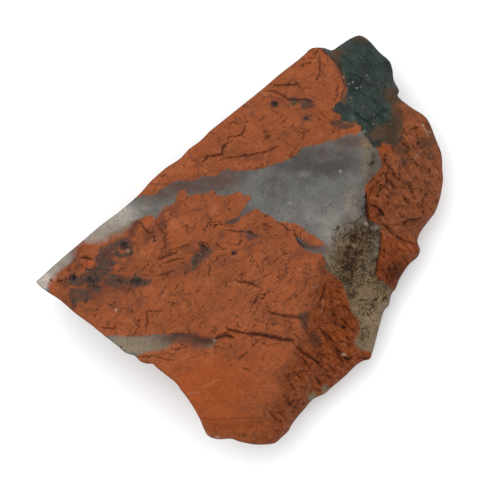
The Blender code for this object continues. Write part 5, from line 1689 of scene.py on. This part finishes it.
def texture_places(vertices, faces, rim_count):
    """Where each face corner lies on the texture: the top above, then the sides and the underside."""
    frame_points = MM_PER_M * to_stone_frame(vertices)
    corner_points = frame_points[np.concatenate(faces).ravel()]
    low = frame_points.min(axis=0)
    top_count, under_count = 3 * len(faces[0]), 3 * len(faces[-1])
    places = np.zeros((len(corner_points), 2))
    places[:top_count] = TOP_TEXTURE[:2] + (corner_points[:top_count, :2] - low[:2]) * TOP_TEXTURE[2]
    under = corner_points[-under_count:, :2] - low[:2]
    places[-under_count:] = UNDERSIDE_TEXTURE[:2] + under * UNDERSIDE_TEXTURE[2]
    share = np.arange(rim_count) / rim_count
    start = top_count
    for ring, faces_of_ring in enumerate(zip(faces[1:-1:2], faces[2:-1:2])):
        for k, corners in enumerate(((0, 1, 0), (0, 1, 1))):
            left = np.array(corners)
            rows = np.array(((0, 1, 1), (0, 0, 1))[k])
            u = share[:, None] + left[None, :] / rim_count
            v = 1 - (ring + rows[None, :]) / SIDE_ROWS + 0 * u
            count = faces_of_ring[k].size
            strip = np.column_stack([u.ravel(), v.ravel()]) * SIDE_TEXTURE[2:] + SIDE_TEXTURE[:2]
            places[start:start + count] = strip
            start += count
    return places


def add_object(name, data):
    made = bpy.data.objects.new(name, data)
    bpy.context.scene.collection.objects.link(made)
    return made


def build_stone():
    vertices, faces, depth, skin, hollow, rim_count = stone_mesh()
    points = np.clip(to_stone_frame(vertices), cad_low, cad_high)
    mesh = bpy.data.meshes.new("jasper_stone_fine")
    mesh.from_pydata(points.tolist(), [], np.concatenate(faces).tolist())
    mesh.shade_smooth()
    for name, values in composition(vertices[:, :2], depth, skin, hollow).items():
        mesh.attributes.new(name, "FLOAT", "POINT").data.foreach_set("value", values.astype(np.float32))
    layer = mesh.uv_layers.new(name="OFBake")
    layer.data.foreach_set("uv", texture_places(vertices, faces, rim_count).astype(np.float32).ravel())
    mesh.materials.append(stone_material())
    stone = add_object("jasper_stone_fine", mesh)
    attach(stone, "root")
    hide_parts("jasper_stone")


# The floor, the light and the camera


def build_floor():
    mesh = bpy.data.meshes.new("floor")
    corners = [(x * FLOOR_REACH, y * FLOOR_REACH, 0) for x, y in ((-1, -1), (1, -1), (1, 1), (-1, 1))]
    mesh.from_pydata(corners, [], [(0, 1, 2, 3)])
    material = bpy.data.materials.new("white_floor")
    material.use_nodes = True
    shader = material.node_tree.nodes["Principled BSDF"]
    shader.inputs["Base Color"].default_value = FLOOR_COLOUR
    shader.inputs["Roughness"].default_value = 1.0
    shader.inputs["Specular IOR Level"].default_value = 0.0
    mesh.materials.append(material)
    floor = add_object("floor", mesh)


def picture_direction(x, y, z):
    """A direction that is x to the right and y up in the picture, and z towards the camera."""
    turn = Matrix.Rotation(-LONG_EDGE_ANGLE, 3, "Z")
    return turn @ Vector((x, y, z))


def build_lights():
    lamp = bpy.data.lights.new("window", "AREA")
    lamp.shape = "DISK"
    lamp.size = LAMP_SIZE
    lamp.energy = LAMP_POWER
    lamp_object = add_object("window", lamp)
    lamp_object.location = picture_direction(*LAMP_SIDE).normalized() * LAMP_DISTANCE
    lamp_object.rotation_euler = lamp_object.location.to_track_quat("Z", "Y").to_euler()
    world = bpy.data.worlds.new("room")
    world.use_nodes = True
    world.node_tree.nodes["Background"].inputs["Color"].default_value = ROOM_COLOUR
    world.node_tree.nodes["Background"].inputs["Strength"].default_value = ROOM_LIGHT
    bpy.context.scene.world = world


def build_camera():
    """Straight above the stone, with the picture's pixels as large on the sawn face as on the plan."""
    middle = to_stone_frame(np.array([(PICTURE_SIZE / 2, PICTURE_SIZE / 2, 0)]))[0]
    camera = bpy.data.cameras.new("camera")
    width = PICTURE_SIZE * PLAN_UNIT
    camera.lens = camera.sensor_width * (CAMERA_DISTANCE - THICKNESS) / width
    camera_object = add_object("camera", camera)
    camera_object.location = (middle[0], middle[1], CAMERA_DISTANCE)
    camera_object.rotation_euler = (0, 0, -LONG_EDGE_ANGLE)
    bpy.context.scene.camera = camera_object


build_stone()
build_floor()
build_lights()
build_camera()
bpy.context.scene.view_settings.view_transform = "Standard"

bpy.context.view_layer.update()
